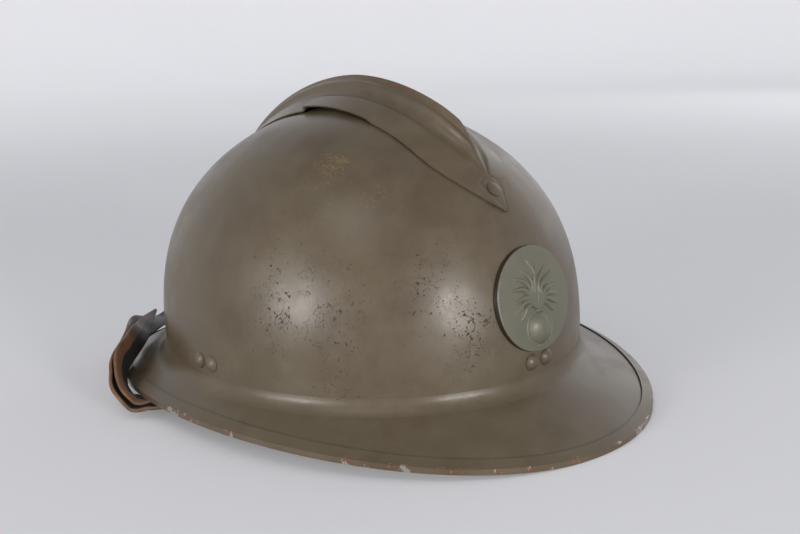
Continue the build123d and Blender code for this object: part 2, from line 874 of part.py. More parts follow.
def ribbon(stations, thickness, last_travel=None):
    """A strap through stations of place, width direction and width share."""
    places = [station[0] for station in stations]
    leans = [station[1] for station in stations]
    widths = [station[2] for station in stations]
    steps = []
    for index in range(len(stations) - 1):
        for step in range(strap_smooth_steps):
            place = index + step / strap_smooth_steps
            steps.append([smooth(values, place) for values in (places, leans, widths)])
    steps.append([places[-1], leans[-1], widths[-1]])
    wires = []
    for index, (place, lean, width) in enumerate(steps):
        before = steps[max(index - 1, 0)][0]
        after = steps[min(index + 1, len(steps) - 1)][0]
        travel = (after - before).normalized()
        if last_travel is not None and index == len(steps) - 1:
            travel = last_travel
        across = (lean - travel * lean.dot(travel)).normalized() * (strap_width * width / 2)
        face_out = travel.cross(across).normalized() * (thickness / 2)
        corners = [
            place + across + face_out,
            place - across + face_out,
            place - across - face_out,
            place + across - face_out,
        ]
        wires.append(Wire.make_polygon(corners, close=True))
    return Solid.make_loft(wires, ruled=True)


def lap_station(shift):
    """Where the doubled end by the bail passes into the two layers, for the layer at a shift."""
    (place, lean, width), (following, _, _) = way_stations()[:2]
    travel = (following - place).normalized()
    across = (lean - travel * lean.dot(travel)).normalized()
    side = travel.cross(across).normalized() * shift
    return place + side - travel * (3 * strap_gap), lean, width


def rear_profile(width, thickness):
    """The strap's section behind the dome, drawn on the plane through the circle's axis."""
    place, out, lean = rear_station(0)
    face = Rectangle(width, thickness)
    return Plane(origin=place, x_dir=upright(out, lean), z_dir=(1, 0, 0)) * face


def rear_turn(face, half_angle):
    """A section turned both ways about the upright axis of the strap's circle."""
    axis = Axis(rear_centre(), (0, 0, 1))
    start = face.rotate(axis, -half_angle)
    return revolve(start, axis=axis, revolution_arc=2 * half_angle)


def make_strap_run():
    """The strap's long way round: right rim, behind the dome, left rim."""
    _, out, _ = rear_station(strap_rear_half_angle)
    travel = Vector(out.Y, -out.X, 0)
    right = ribbon(way_stations(), strap_thickness, travel)
    rear = rear_turn(rear_profile(strap_width, strap_thickness), strap_rear_half_angle)
    return right + rear + mirror(right, about=Plane.YZ)


def make_strap_end(layers):
    """The strap's loop round the bail's lower bar, and the lap that leaves it for the rim."""
    bar = bail_eye() - Vector(0, 0, bail_drop)
    bore = bail_wire / 2 + strap_gap / 2
    thickness = layers * strap_thickness + (layers - 1) * strap_gap
    barrel = bore + strap_thickness
    rod = Pos(*bar) * Rot(90, 0, 0)
    lap_rise = strap_thickness * strap_lap_rise_share
    start = bar + Vector(-bore, 0, lap_rise - bore - strap_thickness / 2)
    shift = (layers - 1) * (strap_thickness + strap_gap) / 2
    end, lean, _ = lap_station(shift)
    bow = Vector(*strap_lap_bow_shares) * strap_width
    middle = start + (end - start) * 0.5 + bow
    stations = [
        (start, Vector(0, -1, 0), 1.0),
        (middle, Vector(*strap_lap_lean_shares), 1.0),
        (end, lean, 1.0),
    ]
    first, second = way_stations()[:2]
    lap = ribbon(stations, thickness, (second[0] - first[0]).normalized())
    loop = rod * Cylinder(barrel, strap_width)
    return loop + lap - rod * Cylinder(bore, strap_width * 2)


def make_strap_tail():
    """The doubled-back layer inside the first, out to its free tip."""
    places = [station[0] for station in way_stations()]
    leans = [station[1] for station in way_stations()]
    stations = []
    for row, off_share, up_share, width, lean in strap_tail_shares:
        place, across = smooth(places, row), smooth(leans, row)
        travel = (smooth(places, row + 1 / strap_smooth_steps) - place).normalized()
        square = (across - travel * across.dot(travel)).normalized()
        outward = square.cross(travel).normalized()
        leaned = square * cos(radians(lean)) + outward * sin(radians(lean))
        shift = outward * (off_share * strap_width) + Vector(0, 0, up_share * strap_width)
        stations.append((place + shift, leaned, width))
    return ribbon(stations, strap_thickness - strap_gap)


def make_slider():
    """A steel sleeve with a middle bar that rides on the strap behind the dome."""
    inner_width = strap_width + 2 * slider_gap
    inner_depth = strap_thickness + 2 * slider_gap
    outer_face = rear_profile(inner_width + 2 * slider_sheet, inner_depth + 2 * slider_sheet)
    half_angle = degrees(slider_length / 2 / strap_rear_radius)
    sleeve = rear_turn(outer_face, half_angle)
    sleeve -= rear_turn(rear_profile(inner_width, inner_depth), 2 * half_angle)
    window = Box(
        strap_width - slider_bar,
        2 * (inner_depth + slider_sheet),
        (slider_length - 3 * slider_bar) / 2,
        align=(Align.CENTER, Align.MAX, Align.CENTER),
    )
    place, out, lean = rear_station(0)
    frame = Plane(origin=place, x_dir=upright(out, lean), z_dir=(1, 0, 0))
    shift = (slider_bar + (slider_length - 3 * slider_bar) / 2) / 2
    for side in (-1, 1):
        sleeve -= frame * Pos(0, 0, side * shift) * window
    return sleeve


def mirrored(shape):
    return mirror(shape, about=Plane.YZ)


def build():
    nodes = {
        "shell": make_shell(),
        "rim_binding": make_rim_binding(),
        "crest": make_crest(),
        "crest_rivets": make_crest_rivets(),
        "badge_disc": make_badge_disc(),
        "badge_prongs": make_badge_prongs(),
        "liner_hoop": make_hoop(),
        "hoop_rivets": make_hoop_rivets(),
        "liner_felt": make_felt(),
        "sweatband": make_sweatband(),
        "drawstring": make_drawstring(),
        "chinstrap_run": make_strap_run(),
        "chinstrap_tail": make_strap_tail(),
        "chinstrap_end_right": make_strap_end(2),
        "chinstrap_end_left": mirrored(make_strap_end(1)),
        "strap_slider": make_slider(),
    }
    plate_grip = shell_sheet + fit_gap + bracket_sheet
    nodes["liner_rivets"] = rivet_pairs((0, 180), plate_grip)
    nodes["bail_rivets"] = rivet_pairs((90, 270), plate_grip + fit_gap + bail_plate_sheet)
    for name, turn in (("front", 0), ("rear", 180), ("right", 270), ("left", 90)):
        nodes[f"liner_bracket_{name}"] = make_bracket(turn)
    spacer_turns = {"front_right": -45, "front_left": 45, "rear_right": 225, "rear_left": 135}
    for name, turn in spacer_turns.items():
        nodes[f"spacer_{name}"] = make_spacer(turn)
    for index in range(tongue_count):
        nodes[f"liner_tongue_{index + 1}"] = make_tongue(360 / tongue_count * index)
    plate, bail = make_bail_plate(), make_bail()
    nodes["bail_plate_right"] = plate
    nodes["bail_plate_left"] = mirrored(plate)
    nodes["bail_right"] = bail
    nodes["bail_left"] = mirrored(bail)
    return nodes


os.makedirs("parts", exist_ok=True)
for node, shape in build().items():
    export_step(shape, f"parts/{node}.step")
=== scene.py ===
from math import asin, cos, degrees, hypot, pi, radians, sin, tan

import bpy
import numpy as np
from mathutils import Matrix, Vector


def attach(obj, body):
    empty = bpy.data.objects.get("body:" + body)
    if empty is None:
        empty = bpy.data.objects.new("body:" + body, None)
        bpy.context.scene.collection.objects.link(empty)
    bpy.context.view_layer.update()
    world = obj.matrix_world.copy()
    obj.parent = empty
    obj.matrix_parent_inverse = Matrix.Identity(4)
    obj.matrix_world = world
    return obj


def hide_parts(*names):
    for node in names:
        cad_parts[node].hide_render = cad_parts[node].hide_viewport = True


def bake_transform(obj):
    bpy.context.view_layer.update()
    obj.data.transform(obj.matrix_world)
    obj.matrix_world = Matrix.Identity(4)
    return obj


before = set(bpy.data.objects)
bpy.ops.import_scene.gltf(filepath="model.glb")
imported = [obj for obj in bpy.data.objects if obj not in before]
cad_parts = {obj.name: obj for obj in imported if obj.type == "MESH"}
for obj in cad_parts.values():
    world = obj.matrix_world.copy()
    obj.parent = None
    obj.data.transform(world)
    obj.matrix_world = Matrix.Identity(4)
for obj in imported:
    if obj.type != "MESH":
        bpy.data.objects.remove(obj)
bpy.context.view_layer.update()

bl_info = {
    "name": "Comb Helmet",
    "version": (1, 0),
    "blender": (4, 5, 0),
    "location": "3D View > Sidebar > Helmet",
    "description": "A painted comb helmet with its leather liner and stowed chinstrap",
    "category": "Add Mesh",
}

MM = 0.001
ALMOST_ONE = 0.99999

# Sizes of the metal parts that the soft pieces and the comb are fitted to, in millimetres and degrees
DOME_WIDTH = 189.5
DOME_LENGTH = 216.0
DOME_RISE = 114.7
DOME_FOOT = 8.0
CROWN_POWER = 1.82
SHOULDER_POWER = 2.53
BRIM_ANGLE = 26.5
BRIM_END_REACH = 39.5
BRIM_SIDE_REACH = 16.25
FOLD_STACK = 1.55
REST_CUT = 0.45
HALF_WIDTH = DOME_WIDTH / 2
OVAL_RATIO = DOME_LENGTH / DOME_WIDTH
RIM_WIDTH = DOME_WIDTH + 2 * BRIM_SIDE_REACH
RIM_LENGTH = DOME_LENGTH + 2 * BRIM_END_REACH
BRIM_TAN = tan(radians(BRIM_ANGLE))
BRIM_COS = cos(radians(BRIM_ANGLE))
CREASE = (RIM_LENGTH / 2 / OVAL_RATIO - HALF_WIDTH) * BRIM_TAN + FOLD_STACK / BRIM_COS - REST_CUT

# Comb
COMB_CENTRE_HEIGHT = 26.4
COMB_FRONT_ANGLE = 63.4
COMB_REAR_ANGLE = 80.0
COMB_SHEET = 0.8
COMB_WIDTH = 43.0
COMB_HEIGHT = 13.1
COMB_LEDGE = (12.0, 5.0)
COMB_SHOULDER = (5.0, 10.4)
COMB_TIP_ANGLE = 22.0
COMB_TIP_POWER = 0.8
COMB_GAP = 0.25
COMB_FLAT_END = 8.6
COMB_FLAT_SHARES = (0.55, 0.28)
LOUVER_ANGLES = (-20.7, 9.9)
LOUVER_LIFTS = (1.0, 2.2)
LOUVER_BLENDS = (3.2, 0.9)
NOSE_SHARES = (
    (10.2, 0.14, 0.44, 0.11, 0.24, 0.20),
    (12.0, 0.30, 0.60, 0.16, 0.34, 0.28),
    (15.0, 0.57, 0.78, 0.20, 0.46, 0.39),
    (19.0, 0.73, 0.86, 0.28, 0.74, 0.62),
    (22.0, 0.82, 0.90, 0.52, 0.85, 0.83),
    (25.0, 0.88, 0.92, 0.70, 0.91, 0.97),
    (30.0, 0.92, 0.94, 0.80, 0.95, 1.0),
    (36.0, 0.96, 0.97, 0.90, 0.98, 1.0),
    (90.0, 1.0, 1.0, 1.0, 1.0, 1.0),
)

# Badge
BADGE_RADIUS = 22.25
BADGE_HEIGHT = 36.8
BADGE_SHEET = 0.8
BADGE_GAP = 0.35
BALL_RADIUS = 7.0
BALL_RISE = 2.8
BALL_DROP = 12.4
FLAME_ROOT_DROP = 4.4
FLAME_RISE = 1.15
BADGE_CROWN = 1.3
BADGE_FOOT_GAP = 0.3

# Liner, as depths in from the dome's face and heights above the crease
FELT_INSET = 8.8
FELT_THICKNESS = 2.6
FELT_TOP = 26.4
BAND_INSET = 11.6
BAND_THICKNESS = 1.5
BAND_LOW = 1.9
BAND_TOP = 26.9
BAND_STITCH_COUNT = 150
BAND_SEAMS = (BAND_LOW + 3.6, BAND_TOP - 3.0)
SOFT_GAP = 0.2
TONGUE_COUNT = 7
TONGUE_THICKNESS = 1.3
TONGUE_ROOT_GAP = 8.4
TONGUE_TIP_GAP = 8.0
CROWN_SPACE = 29.6
CORD_RADIUS = 26.0
CORD_DIAMETER = 2.2
HEM_GAP = 0.35
HEM_RADIUS = CORD_DIAMETER / 2 + HEM_GAP + TONGUE_THICKNESS / 2
HEM_ANGLES = (62, 90, 125, 160, 195, 230, 262, 292)
HEM_FLAP_SHARES = ((1.1, -1.0), (2.1, -1.05), (3.1, -1.2))
HEM_STITCH_REACH = 5.0
HEM_STITCH_DROP = 3.9
KNOT_DIAMETER = 6.4
CORD_END_LENGTH = 16.0
CORD_END_SPREAD = 24.0

# Bails and chinstrap
BAIL_EYE_DROP = 0.4
BAIL_EYE_INSET = 4.08
BAIL_WIRE = 2.4
BAIL_DROP = 10.5
STRAP_WIDTH = 14.0
STRAP_THICKNESS = 2.0
STRAP_GAP = 0.3
STRAP_CORNER_SHARE = 0.42
STRAP_REAR_RADIUS = 200.0
STRAP_REAR_CLEARANCE = 21.0
STRAP_REAR_RISE = 8.1
STRAP_REAR_LEAN = 84.0
STRAP_REAR_HALF_ANGLE = 7.5
LAP_START = (0.7, 0.5)
LAP_BOW_SHARES = (-0.14, -0.10, -0.06)
STRAP_WAY = (
    (97.0, -0.76, -0.06, 114.0),
    (101.0, -0.36, -0.33, 98.0),
    (103.5, 0.10, -0.40, 84.0),
    (106.2, 0.50, -0.14, 46.0),
    (111.5, 0.48, 0.10, 14.0),
    (115.0, 0.26, 0.46, 8.0),
    (119.0, -0.12, 0.68, 12.0),
    (124.0, -0.42, 0.89, 16.0),
    (131.0, -0.52, 0.94, 22.0),
    (138.0, -0.66, 1.0, 44.0),
    (147.0, -0.74, 0.9, 74.0),
    (156.0, -0.79, 0.74, 88.0),
)
STRAP_TAIL = (
    (0.0, -0.17, 0.0, 0.8, 0.0),
    (1.0, -0.19, 0.0, 0.55, 0.0),
    (2.0, -0.19, 0.0, 0.55, 0.0),
    (2.5, -0.20, 0.0, 0.62, -2.0),
    (3.0, -0.21, 0.0, 0.74, -3.0),
    (4.0, -0.21, 0.12, 0.9, 5.0),
    (5.0, -0.20, 0.22, 0.94, 6.0),
    (6.0, -0.20, 0.20, 0.94, 0.0),
    (7.0, -0.24, 0.14, 0.82, 12.0),
    (8.0, -0.32, 0.05, 0.66, 25.0),
    (8.8, -0.36, 0.02, 0.46, 15.0),
    (9.9, -0.44, -0.01, 0.12, 0.0),
)

# Camera and stage: lens and place in millimetres, turn, rise and roll in degrees, backdrop in metres
CAMERA_LENS = 46.17
CAMERA_PLACE = (-321.6, -368.9, 170.1)
CAMERA_ANGLES = (-43.04, 13.53, -2.26)
STAGE_PROFILE = (
    (0.0, 0.0), (0.8, 0.0), (1.7, 0.0), (2.6, 0.0), (3.1, 0.12),
    (3.4, 0.5), (3.5, 1.2), (3.5, 2.2), (3.5, 3.4),
)

# Places of wear on the shell, in millimetres: centre, reach and strength
CHIP_PLACES = (
    ((-81.8, -50.0, 56.0), 52.0, 1.0),
    ((-41.7, -89.4, 66.0), 36.0, 0.9),
    ((-33.4, -99.9, 46.0), 34.0, 1.0),
    ((-80.0, -62.0, 34.0), 40.0, 0.8),
    ((84.0, -40.0, 60.0), 44.0, 0.8),
    ((60.0, 78.0, 58.0), 40.0, 0.8),
    ((-66.0, 72.0, 55.0), 38.0, 0.7),
)
SCUFF_PLACES = (
    ((-49.6, -37.2, 112.2), 17.0, 1.0),
    ((-52.0, -33.0, 108.0), 30.0, 0.6),
    ((-46.0, -60.0, 102.0), 26.0, 0.62),
    ((-62.0, -44.0, 96.0), 30.0, 0.42),
    ((52.0, 20.0, 112.0), 24.0, 0.7),
    ((-40.0, 66.0, 102.0), 22.0, 0.6),
)


def linear(red, green, blue):
    """A colour as the screen shows it, from 0 to 255, as the linear colour that a material takes."""
    parts = [value / 255 for value in (red, green, blue)]
    return tuple(p / 12.92 if p <= 0.04045 else ((p + 0.055) / 1.055) ** 2.4 for p in parts)


def colour(name, description, red, green, blue):
    return bpy.props.FloatVectorProperty(
        name=name,
        description=description,
        subtype="COLOR",
        size=3,
        min=0.0,
        max=1.0,
        default=linear(red, green, blue),
    )


def share(name, description, default):
    return bpy.props.FloatProperty(
        name=name, description=description, subtype="FACTOR", min=0.0, max=1.0, default=default
    )


class PaintSettings(bpy.types.PropertyGroup):
    """Colours of the paint and how worn it is."""

    paint: colour("Paint", "Olive brown of the shell where it is cleanest", 88, 77, 59)
    shade: colour("Shade", "Darker brown that the paint has taken on in patches", 76, 63, 47)
    dust: colour("Dust", "Greyer tone of the paint where it is rubbed", 106, 97, 80)
    chip: colour("Chip", "Dark primer and rust at the bottom of a chip", 48, 38, 31)
    scuff: colour("Scuff", "Ochre of the rubbed undercoat", 146, 118, 70)
    rust: colour("Rust", "Rust along the comb's ridge and the rim", 104, 62, 38)
    bare: colour("Bare metal", "Steel that shows at the rim's edge", 176, 172, 164)
    badge: colour("Badge", "Greyer green of the badge", 98, 97, 82)
    chips: share("Chips", "How much of the shell is chipped", 0.5)
    scuffs: share("Scuffs", "How strong the ochre scuffs are", 0.6)


class LeatherSettings(bpy.types.PropertyGroup):
    """Colours of the leather, felt and cord."""

    strap: colour("Strap", "Outer face and edges of the chinstrap", 84, 60, 42)
    strap_worn: colour("Strap, worn", "Chinstrap leather where it is rubbed", 124, 82, 48)
    # The Strap, inside colour is painted shade: the strap's faces that its mask marks are darkened to it to
    # stand in for the shade on them, not for a dye of the leather.
    strap_painted_shade: colour("Strap, inside", "Blackened inner face of the chinstrap", 24, 22, 23)
    liner: colour("Liner", "Leather of the tongues and the band", 70, 48, 33)
    liner_worn: colour("Liner, worn", "Liner leather where the head has rubbed it", 112, 80, 54)
    felt: colour("Felt", "Grey wool felt behind the band", 92, 90, 84)
    cord: colour("Drawstring", "Cotton of the drawstring", 168, 152, 120)
    thread: colour("Thread", "Waxed thread of the seams", 178, 158, 118)


class MetalSettings(bpy.types.PropertyGroup):
    """Colours of the bare metal parts inside."""

    steel: colour("Steel", "Dull steel of brackets, plates and bails", 118, 112, 102)
    aluminium: colour("Aluminium", "Hoop and spacers", 168, 168, 164)
    rust: colour("Rust", "Rust specks on the steel", 108, 66, 42)


def level(name, description, default, **settings):
    return bpy.props.FloatProperty(name=name, description=description, min=0.0, default=default, **settings)


class StageSettings(bpy.types.PropertyGroup):
    """The floor, the backdrop and the lamps."""

    floor: colour("Floor", "Pale floor and backdrop", 208, 208, 211)
    side_power: level("Side lamp", "Power of the lamp at the wearer's right", 12.0, unit="POWER")
    front_power: level("Front lamp", "Power of the lamp before the brow", 15.0, unit="POWER")
    top_power: level("Top lamp", "Power of the lamp above", 3.4, unit="POWER")
    far_power: level("Far lamp", "Power of the lamp on the wearer's left", 2.2, unit="POWER")
    wall: level("Wall", "How much the backdrop glows where it is far from the helmet", 0.22)
    floor_glow: level("Floor glow", "How much lighter the camera sees the floor", 0.25)
    sky: level("Fill", "Strength of the even light from all round", 0.4)


# Shapes


def dome_radius(height, inset=0.0):
    """Half the dome's width at a height above the crease, before the oval's stretch."""
    part = (height - DOME_FOOT) / (DOME_RISE - DOME_FOOT - inset)
    part = min(max(part, 0.0), 1.0)
    return (HALF_WIDTH - inset) * (1 - part**SHOULDER_POWER) ** (1 / CROWN_POWER)


def oval_point(radius, turn, height):
    """A point in metres at a radius, a turn from the front towards the wearer's left and a height."""
    angle = radians(turn)
    return Vector(
        (
            radius * sin(angle) * MM,
            -radius * OVAL_RATIO * cos(angle) * MM,
            (CREASE + height) * MM,
        )
    )


def rim_top(x, y):
    """Height of the brim's upper face above the floor at a place in plan."""
    return CREASE - (hypot(x, y / OVAL_RATIO) - HALF_WIDTH) * BRIM_TAN


def smooth(values, place):
    """A value at a place in a list, on a smooth curve through its neighbours."""
    index = min(int(place), len(values) - 2)
    part = place - index
    first = values[max(index - 1, 0)]
    start = values[index]
    end = values[index + 1]
    last = values[min(index + 2, len(values) - 1)]
    return (
        start * 2
        + (end - first) * part
        + (first * 2 - start * 5 + end * 4 - last) * part**2
        + (start * 3 - first - end * 3 + last) * part**3
    ) * 0.5


def halve(high, rounds, holds):
    """The largest length for which a test still holds, found by halving."""
    low = 0.0
    for _ in range(rounds):
        middle = (low + high) / 2
        low, high = (middle, high) if holds(middle) else (low, middle)
    return low


def ease(part):
    part = min(max(part, 0.0), 1.0)
    return part * part * (3 - 2 * part)


# Mesh helpers


def deselect():
    bpy.ops.object.select_all(action="DESELECT")


def select_only(obj):
    deselect()
    obj.select_set(True)
    bpy.context.view_layer.objects.active = obj


def flat_cut(name, across, along):
    """A flat sheet of quads one metre square, which is then bent into its place."""
    deselect()
    bpy.ops.mesh.primitive_grid_add(x_subdivisions=across, y_subdivisions=along, size=1)
    obj = bpy.context.active_object
    obj.name = name
    obj.data.name = name
    return obj


def bend_cut(obj, place):
    """Moves each point of a flat cut to place(across, along), both from 0 to 1."""
    for vertex in obj.data.vertices:
        vertex.co = place(vertex.co.x + 0.5, vertex.co.y + 0.5)
    obj.data.update()


def shape_sheet(obj, place, thickness, angle, bevel=0.0, offset=0.0, even=True):
    """Bends a flat cut, gives it its thickness and breaks its edges, all in millimetres."""
    bend_cut(obj, place)
    edit(obj, merge_doubles, face_out)
    if offset and obj.data.polygons[len(obj.data.polygons) // 2].normal.z < 0:
        edit(obj, bpy.ops.mesh.flip_normals)
    finish_with(obj, "SOLIDIFY", thickness=thickness * MM, offset=offset, use_even_offset=even)
    if bevel:
        finish_with(obj, "BEVEL", width=bevel * MM, segments=2, limit_method="ANGLE")
    shade(obj, angle)


def edit(obj, *steps):
    """Runs edit mode operators on all of a mesh."""
    select_only(obj)
    bpy.ops.object.mode_set(mode="EDIT")
    bpy.ops.mesh.select_all(action="SELECT")
    for step in steps:
        step()
    bpy.ops.object.mode_set(mode="OBJECT")


def merge_doubles(distance=1e-6):
    bpy.ops.mesh.remove_doubles(threshold=distance)


def face_out():
    bpy.ops.mesh.normals_make_consistent(inside=False)


def close_ends():
    """Fills the open loops of a tube."""
    bpy.ops.mesh.select_all(action="DESELECT")
    bpy.ops.mesh.select_non_manifold(
        extend=False, use_wire=False, use_multi_face=False, use_non_contiguous=False, use_verts=False
    )
    bpy.ops.mesh.edge_face_add()
    bpy.ops.mesh.select_all(action="SELECT")


def finish_with(obj, kind, **settings):
    """Adds a modifier and applies it."""
    select_only(obj)
    modifier = obj.modifiers.new(kind.title(), kind)
    for key, value in settings.items():
        setattr(modifier, key, value)
    bpy.ops.object.modifier_apply(modifier=modifier.name)


def shade(obj, angle=None):
    select_only(obj)
    if angle is None:
        bpy.ops.object.shade_smooth()
    else:
        bpy.ops.object.shade_smooth_by_angle(angle=radians(angle))


def joined(objs, name):
    deselect()
    for obj in objs:
        obj.select_set(True)
    bpy.context.view_layer.objects.active = objs[0]
    if len(objs) > 1:
        bpy.ops.object.join()
    objs[0].name = name
    objs[0].data.name = name
    return objs[0]


def dress(obj, material, slot, body, *nodes):
    """Gives a new piece its material and its body if it has just one, and hides the CAD nodes it stands for.
    The slot is not used.
    """
    obj.data.materials.clear()
    obj.data.materials.append(material)
    if body:
        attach(obj, body)
    if nodes:
        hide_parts(*nodes)
    return obj


def repaint(node, material):
    """Gives a CAD node that keeps its shape its finished material."""
    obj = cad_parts[node]
    obj.data.materials.clear()
    obj.data.materials.append(material)


def tube(name, points, diameter, closed=False, rounds=3):
    """A round tube along points, as a mesh, drawn as a smooth curve first."""
    deselect()
    curve = bpy.data.curves.new(name, "CURVE")
    curve.dimensions = "3D"
    curve.bevel_depth = diameter / 2
    curve.bevel_resolution = rounds
    curve.resolution_u = 4
    curve.use_fill_caps = not closed
    spline = curve.splines.new("NURBS")
    spline.points.add(len(points) - 1)
    for point, place in zip(spline.points, points):
        point.co = (*place, 1.0)
    spline.order_u = 3
    spline.use_cyclic_u = closed
    spline.use_endpoint_u = not closed
    obj = bpy.data.objects.new(name, curve)
    bpy.context.scene.collection.objects.link(obj)
    select_only(obj)
    bpy.ops.object.convert(target="MESH")
    return bpy.context.active_object


# Material helpers


class Tree:
    """Adds nodes to one node tree and links them."""

    def __init__(self, tree):
        self.tree = tree

    def add(self, kind, inputs=None, **settings):
        node = self.tree.nodes.new(kind)
        for key, value in settings.items():
            setattr(node, key, value)
        for key, value in (inputs or {}).items():
            self.put(node.inputs[key], value)
        return node

    def put(self, socket, value):
        if isinstance(value, bpy.types.NodeSocket):
            self.tree.links.new(value, socket)
        else:
            socket.default_value = value

    def noise(self, vector, scale, detail=2.0, roughness=0.5, distortion=0.0):
        inputs = {"Vector": vector, "Scale": scale, "Detail": detail, "Roughness": roughness}
        return self.add("ShaderNodeTexNoise", inputs | {"Distortion": distortion}).outputs["Fac"]

    def cells(self, vector, scale, feature):
        node = self.add("ShaderNodeTexVoronoi", {"Vector": vector, "Scale": scale}, feature=feature)
        return node.outputs["Distance"]

    def work(self, kind, first, second=0.0, clamp=False):
        return self.add("ShaderNodeMath", {0: first, 1: second}, operation=kind, use_clamp=clamp).outputs[0]

    def times(self, first, second):
        return self.work("MULTIPLY", first, second)

    def plus(self, first, second, clamp=False):
        return self.work("ADD", first, second, clamp)

    def minus(self, first, second, clamp=False):
        return self.work("SUBTRACT", first, second, clamp)

    def most(self, first, second):
        return self.work("MAXIMUM", first, second)

    def span(self, value, low, high, start=0.0, end=1.0):
        """Maps a value between low and high softly to one between start and end."""
        inputs = {"Value": value, "From Min": low, "From Max": high, "To Min": start, "To Max": end}
        return self.add("ShaderNodeMapRange", inputs, interpolation_type="SMOOTHSTEP").outputs["Result"]

    def mix(self, factor, first, second):
        node = self.add("ShaderNodeMix", data_type="RGBA")
        self.put(node.inputs[0], factor)
        self.put(node.inputs[6], opaque(first))
        self.put(node.inputs[7], opaque(second))
        return node.outputs[2]

    def blend(self, factor, first, second):
        node = self.add("ShaderNodeMix", data_type="FLOAT")
        self.put(node.inputs[0], factor)
        self.put(node.inputs[2], first)
        self.put(node.inputs[3], second)
        return node.outputs[0]

    def stretched(self, vector, scale, turn=(0.0, 0.0, 0.0)):
        node = self.add("ShaderNodeMapping", {"Vector": vector, "Scale": scale, "Rotation": turn})
        return node.outputs["Vector"]


def dim(tone, share):
    return [value * share for value in tone]


def opaque(value):
    return value if isinstance(value, bpy.types.NodeSocket) else (*tuple(value)[:3], 1.0)


def shared_group(name, inputs, outputs):
    """Makes a node group of a recipe that is given its inputs and returns its outputs. It is built once."""

    def take(recipe):
        def group():
            if name in bpy.data.node_groups:
                return bpy.data.node_groups[name]
            tree = bpy.data.node_groups.new(name, "ShaderNodeTree")
            for way, labels in (("INPUT", inputs), ("OUTPUT", outputs)):
                for label in labels:
                    kind = "NodeSocketVector" if label in ("Vector", "Centre") else "NodeSocketFloat"
                    tree.interface.new_socket(name=label, in_out=way, socket_type=kind)
            build = Tree(tree)
            start, end = build.add("NodeGroupInput"), build.add("NodeGroupOutput")
            for label, value in zip(outputs, recipe(build, *(start.outputs[label] for label in inputs))):
                build.put(end.inputs[label], value)
            return tree

        return group

    return take


@shared_group("paint_chips", ("Vector", "Scale", "Amount"), ("Chip", "Halo"))
def chips_group(build, vector, scale, amount):
    """Small irregular chips, denser where Amount is higher."""
    fine = build.noise(vector, scale, 4.0, 0.62, 0.7)
    clusters = build.noise(vector, build.times(scale, 0.11), 2.0, 0.6)
    level = build.times(build.span(clusters, 0.34, 0.62), amount)
    edge = build.minus(0.755, build.times(level, 0.15))
    over = build.minus(fine, edge)
    chip = build.span(over, 0.0, 0.018)
    halo = build.minus(build.span(over, -0.022, 0.0), chip, True)
    return chip, halo


@shared_group("worn_place", ("Vector", "Centre", "Reach", "Strength"), ("Near",))
def place_group(build, vector, centre, reach, strength):
    """How near a point is to a worn place, from 0 to 1."""
    gap = build.add("ShaderNodeVectorMath", {0: vector, 1: centre}, operation="DISTANCE").outputs["Value"]
    return (build.times(build.span(build.work("DIVIDE", gap, reach), 1.0, 0.15), strength),)


@shared_group("mottle", ("Vector", "Scale"), ("Patches", "Clouds", "Skin", "Dents"))
def mottle_group(build, vector, scale):
    """Slow changes of tone and a fine skin, for colour and for height."""
    patches = build.noise(vector, build.times(scale, 16.0), 5.0, 0.6, 0.4)
    clouds = build.noise(vector, build.times(scale, 60.0), 4.0, 0.62)
    skin = build.noise(vector, build.times(scale, 1500.0), 2.0, 0.55)
    dents = build.noise(vector, build.times(scale, 22.0), 1.0, 0.4)
    return build.span(patches, 0.36, 0.64), build.span(clouds, 0.34, 0.68), skin, dents


@shared_group("leather_grain", ("Vector", "Scale"), ("Height", "Creases", "Wear"))
def grain_group(build, vector, scale):
    """Pores and creases of leather."""
    pores = build.cells(vector, scale, "SMOOTH_F1")
    folds = build.cells(vector, build.times(scale, 0.62), "DISTANCE_TO_EDGE")
    creases = build.span(folds, 0.035, 0.0, 0.0, 0.4)
    wear = build.noise(vector, build.times(scale, 0.045), 4.0, 0.65, 0.6)
    fine = build.noise(vector, build.times(scale, 2.4), 2.0)
    height = build.plus(build.times(pores, -0.6), build.times(fine, 0.3))
    height = build.minus(height, build.times(creases, 0.35))
    return height, creases, build.span(wear, 0.4, 0.66)


def use(build, tree, **inputs):
    """Places a shared group in a material with its own values."""
    node = build.add("ShaderNodeGroup", node_tree=tree)
    for key, value in inputs.items():
        build.put(node.inputs[key], value)
    return node.outputs


def new_material(name):
    """An empty material with its node builder, its shader and the object's own coordinates."""
    material = bpy.data.materials.new(name)
    material.use_nodes = True
    material.node_tree.nodes.clear()
    build = Tree(material.node_tree)
    shader = build.add("ShaderNodeBsdfPrincipled")
    output = build.add("ShaderNodeOutputMaterial")
    build.tree.links.new(shader.outputs["BSDF"], output.inputs["Surface"])
    return material, build, shader, build.add("ShaderNodeTexCoord").outputs["Object"]


def coat_with(build, shader, base, gloss, height, depth, strength):
    """Gives a shader its colour, its roughness and a bump from a height, with its depth in millimetres."""
    build.put(shader.inputs["Base Color"], base)
    build.put(shader.inputs["Roughness"], gloss)
    node = build.add("ShaderNodeBump", {"Height": height, "Distance": depth * MM, "Strength": strength})
    build.put(shader.inputs["Normal"], node.outputs["Normal"])


def worn_places(build, vector, places):
    total = 0.0
    for centre, reach, strength in places:
        near = use(
            build,
            place_group(),
            Vector=vector,
            Centre=[value * MM for value in centre],
            Reach=reach * MM,
            Strength=strength,
        )["Near"]
        total = near if total == 0.0 else build.most(total, near)
    return total


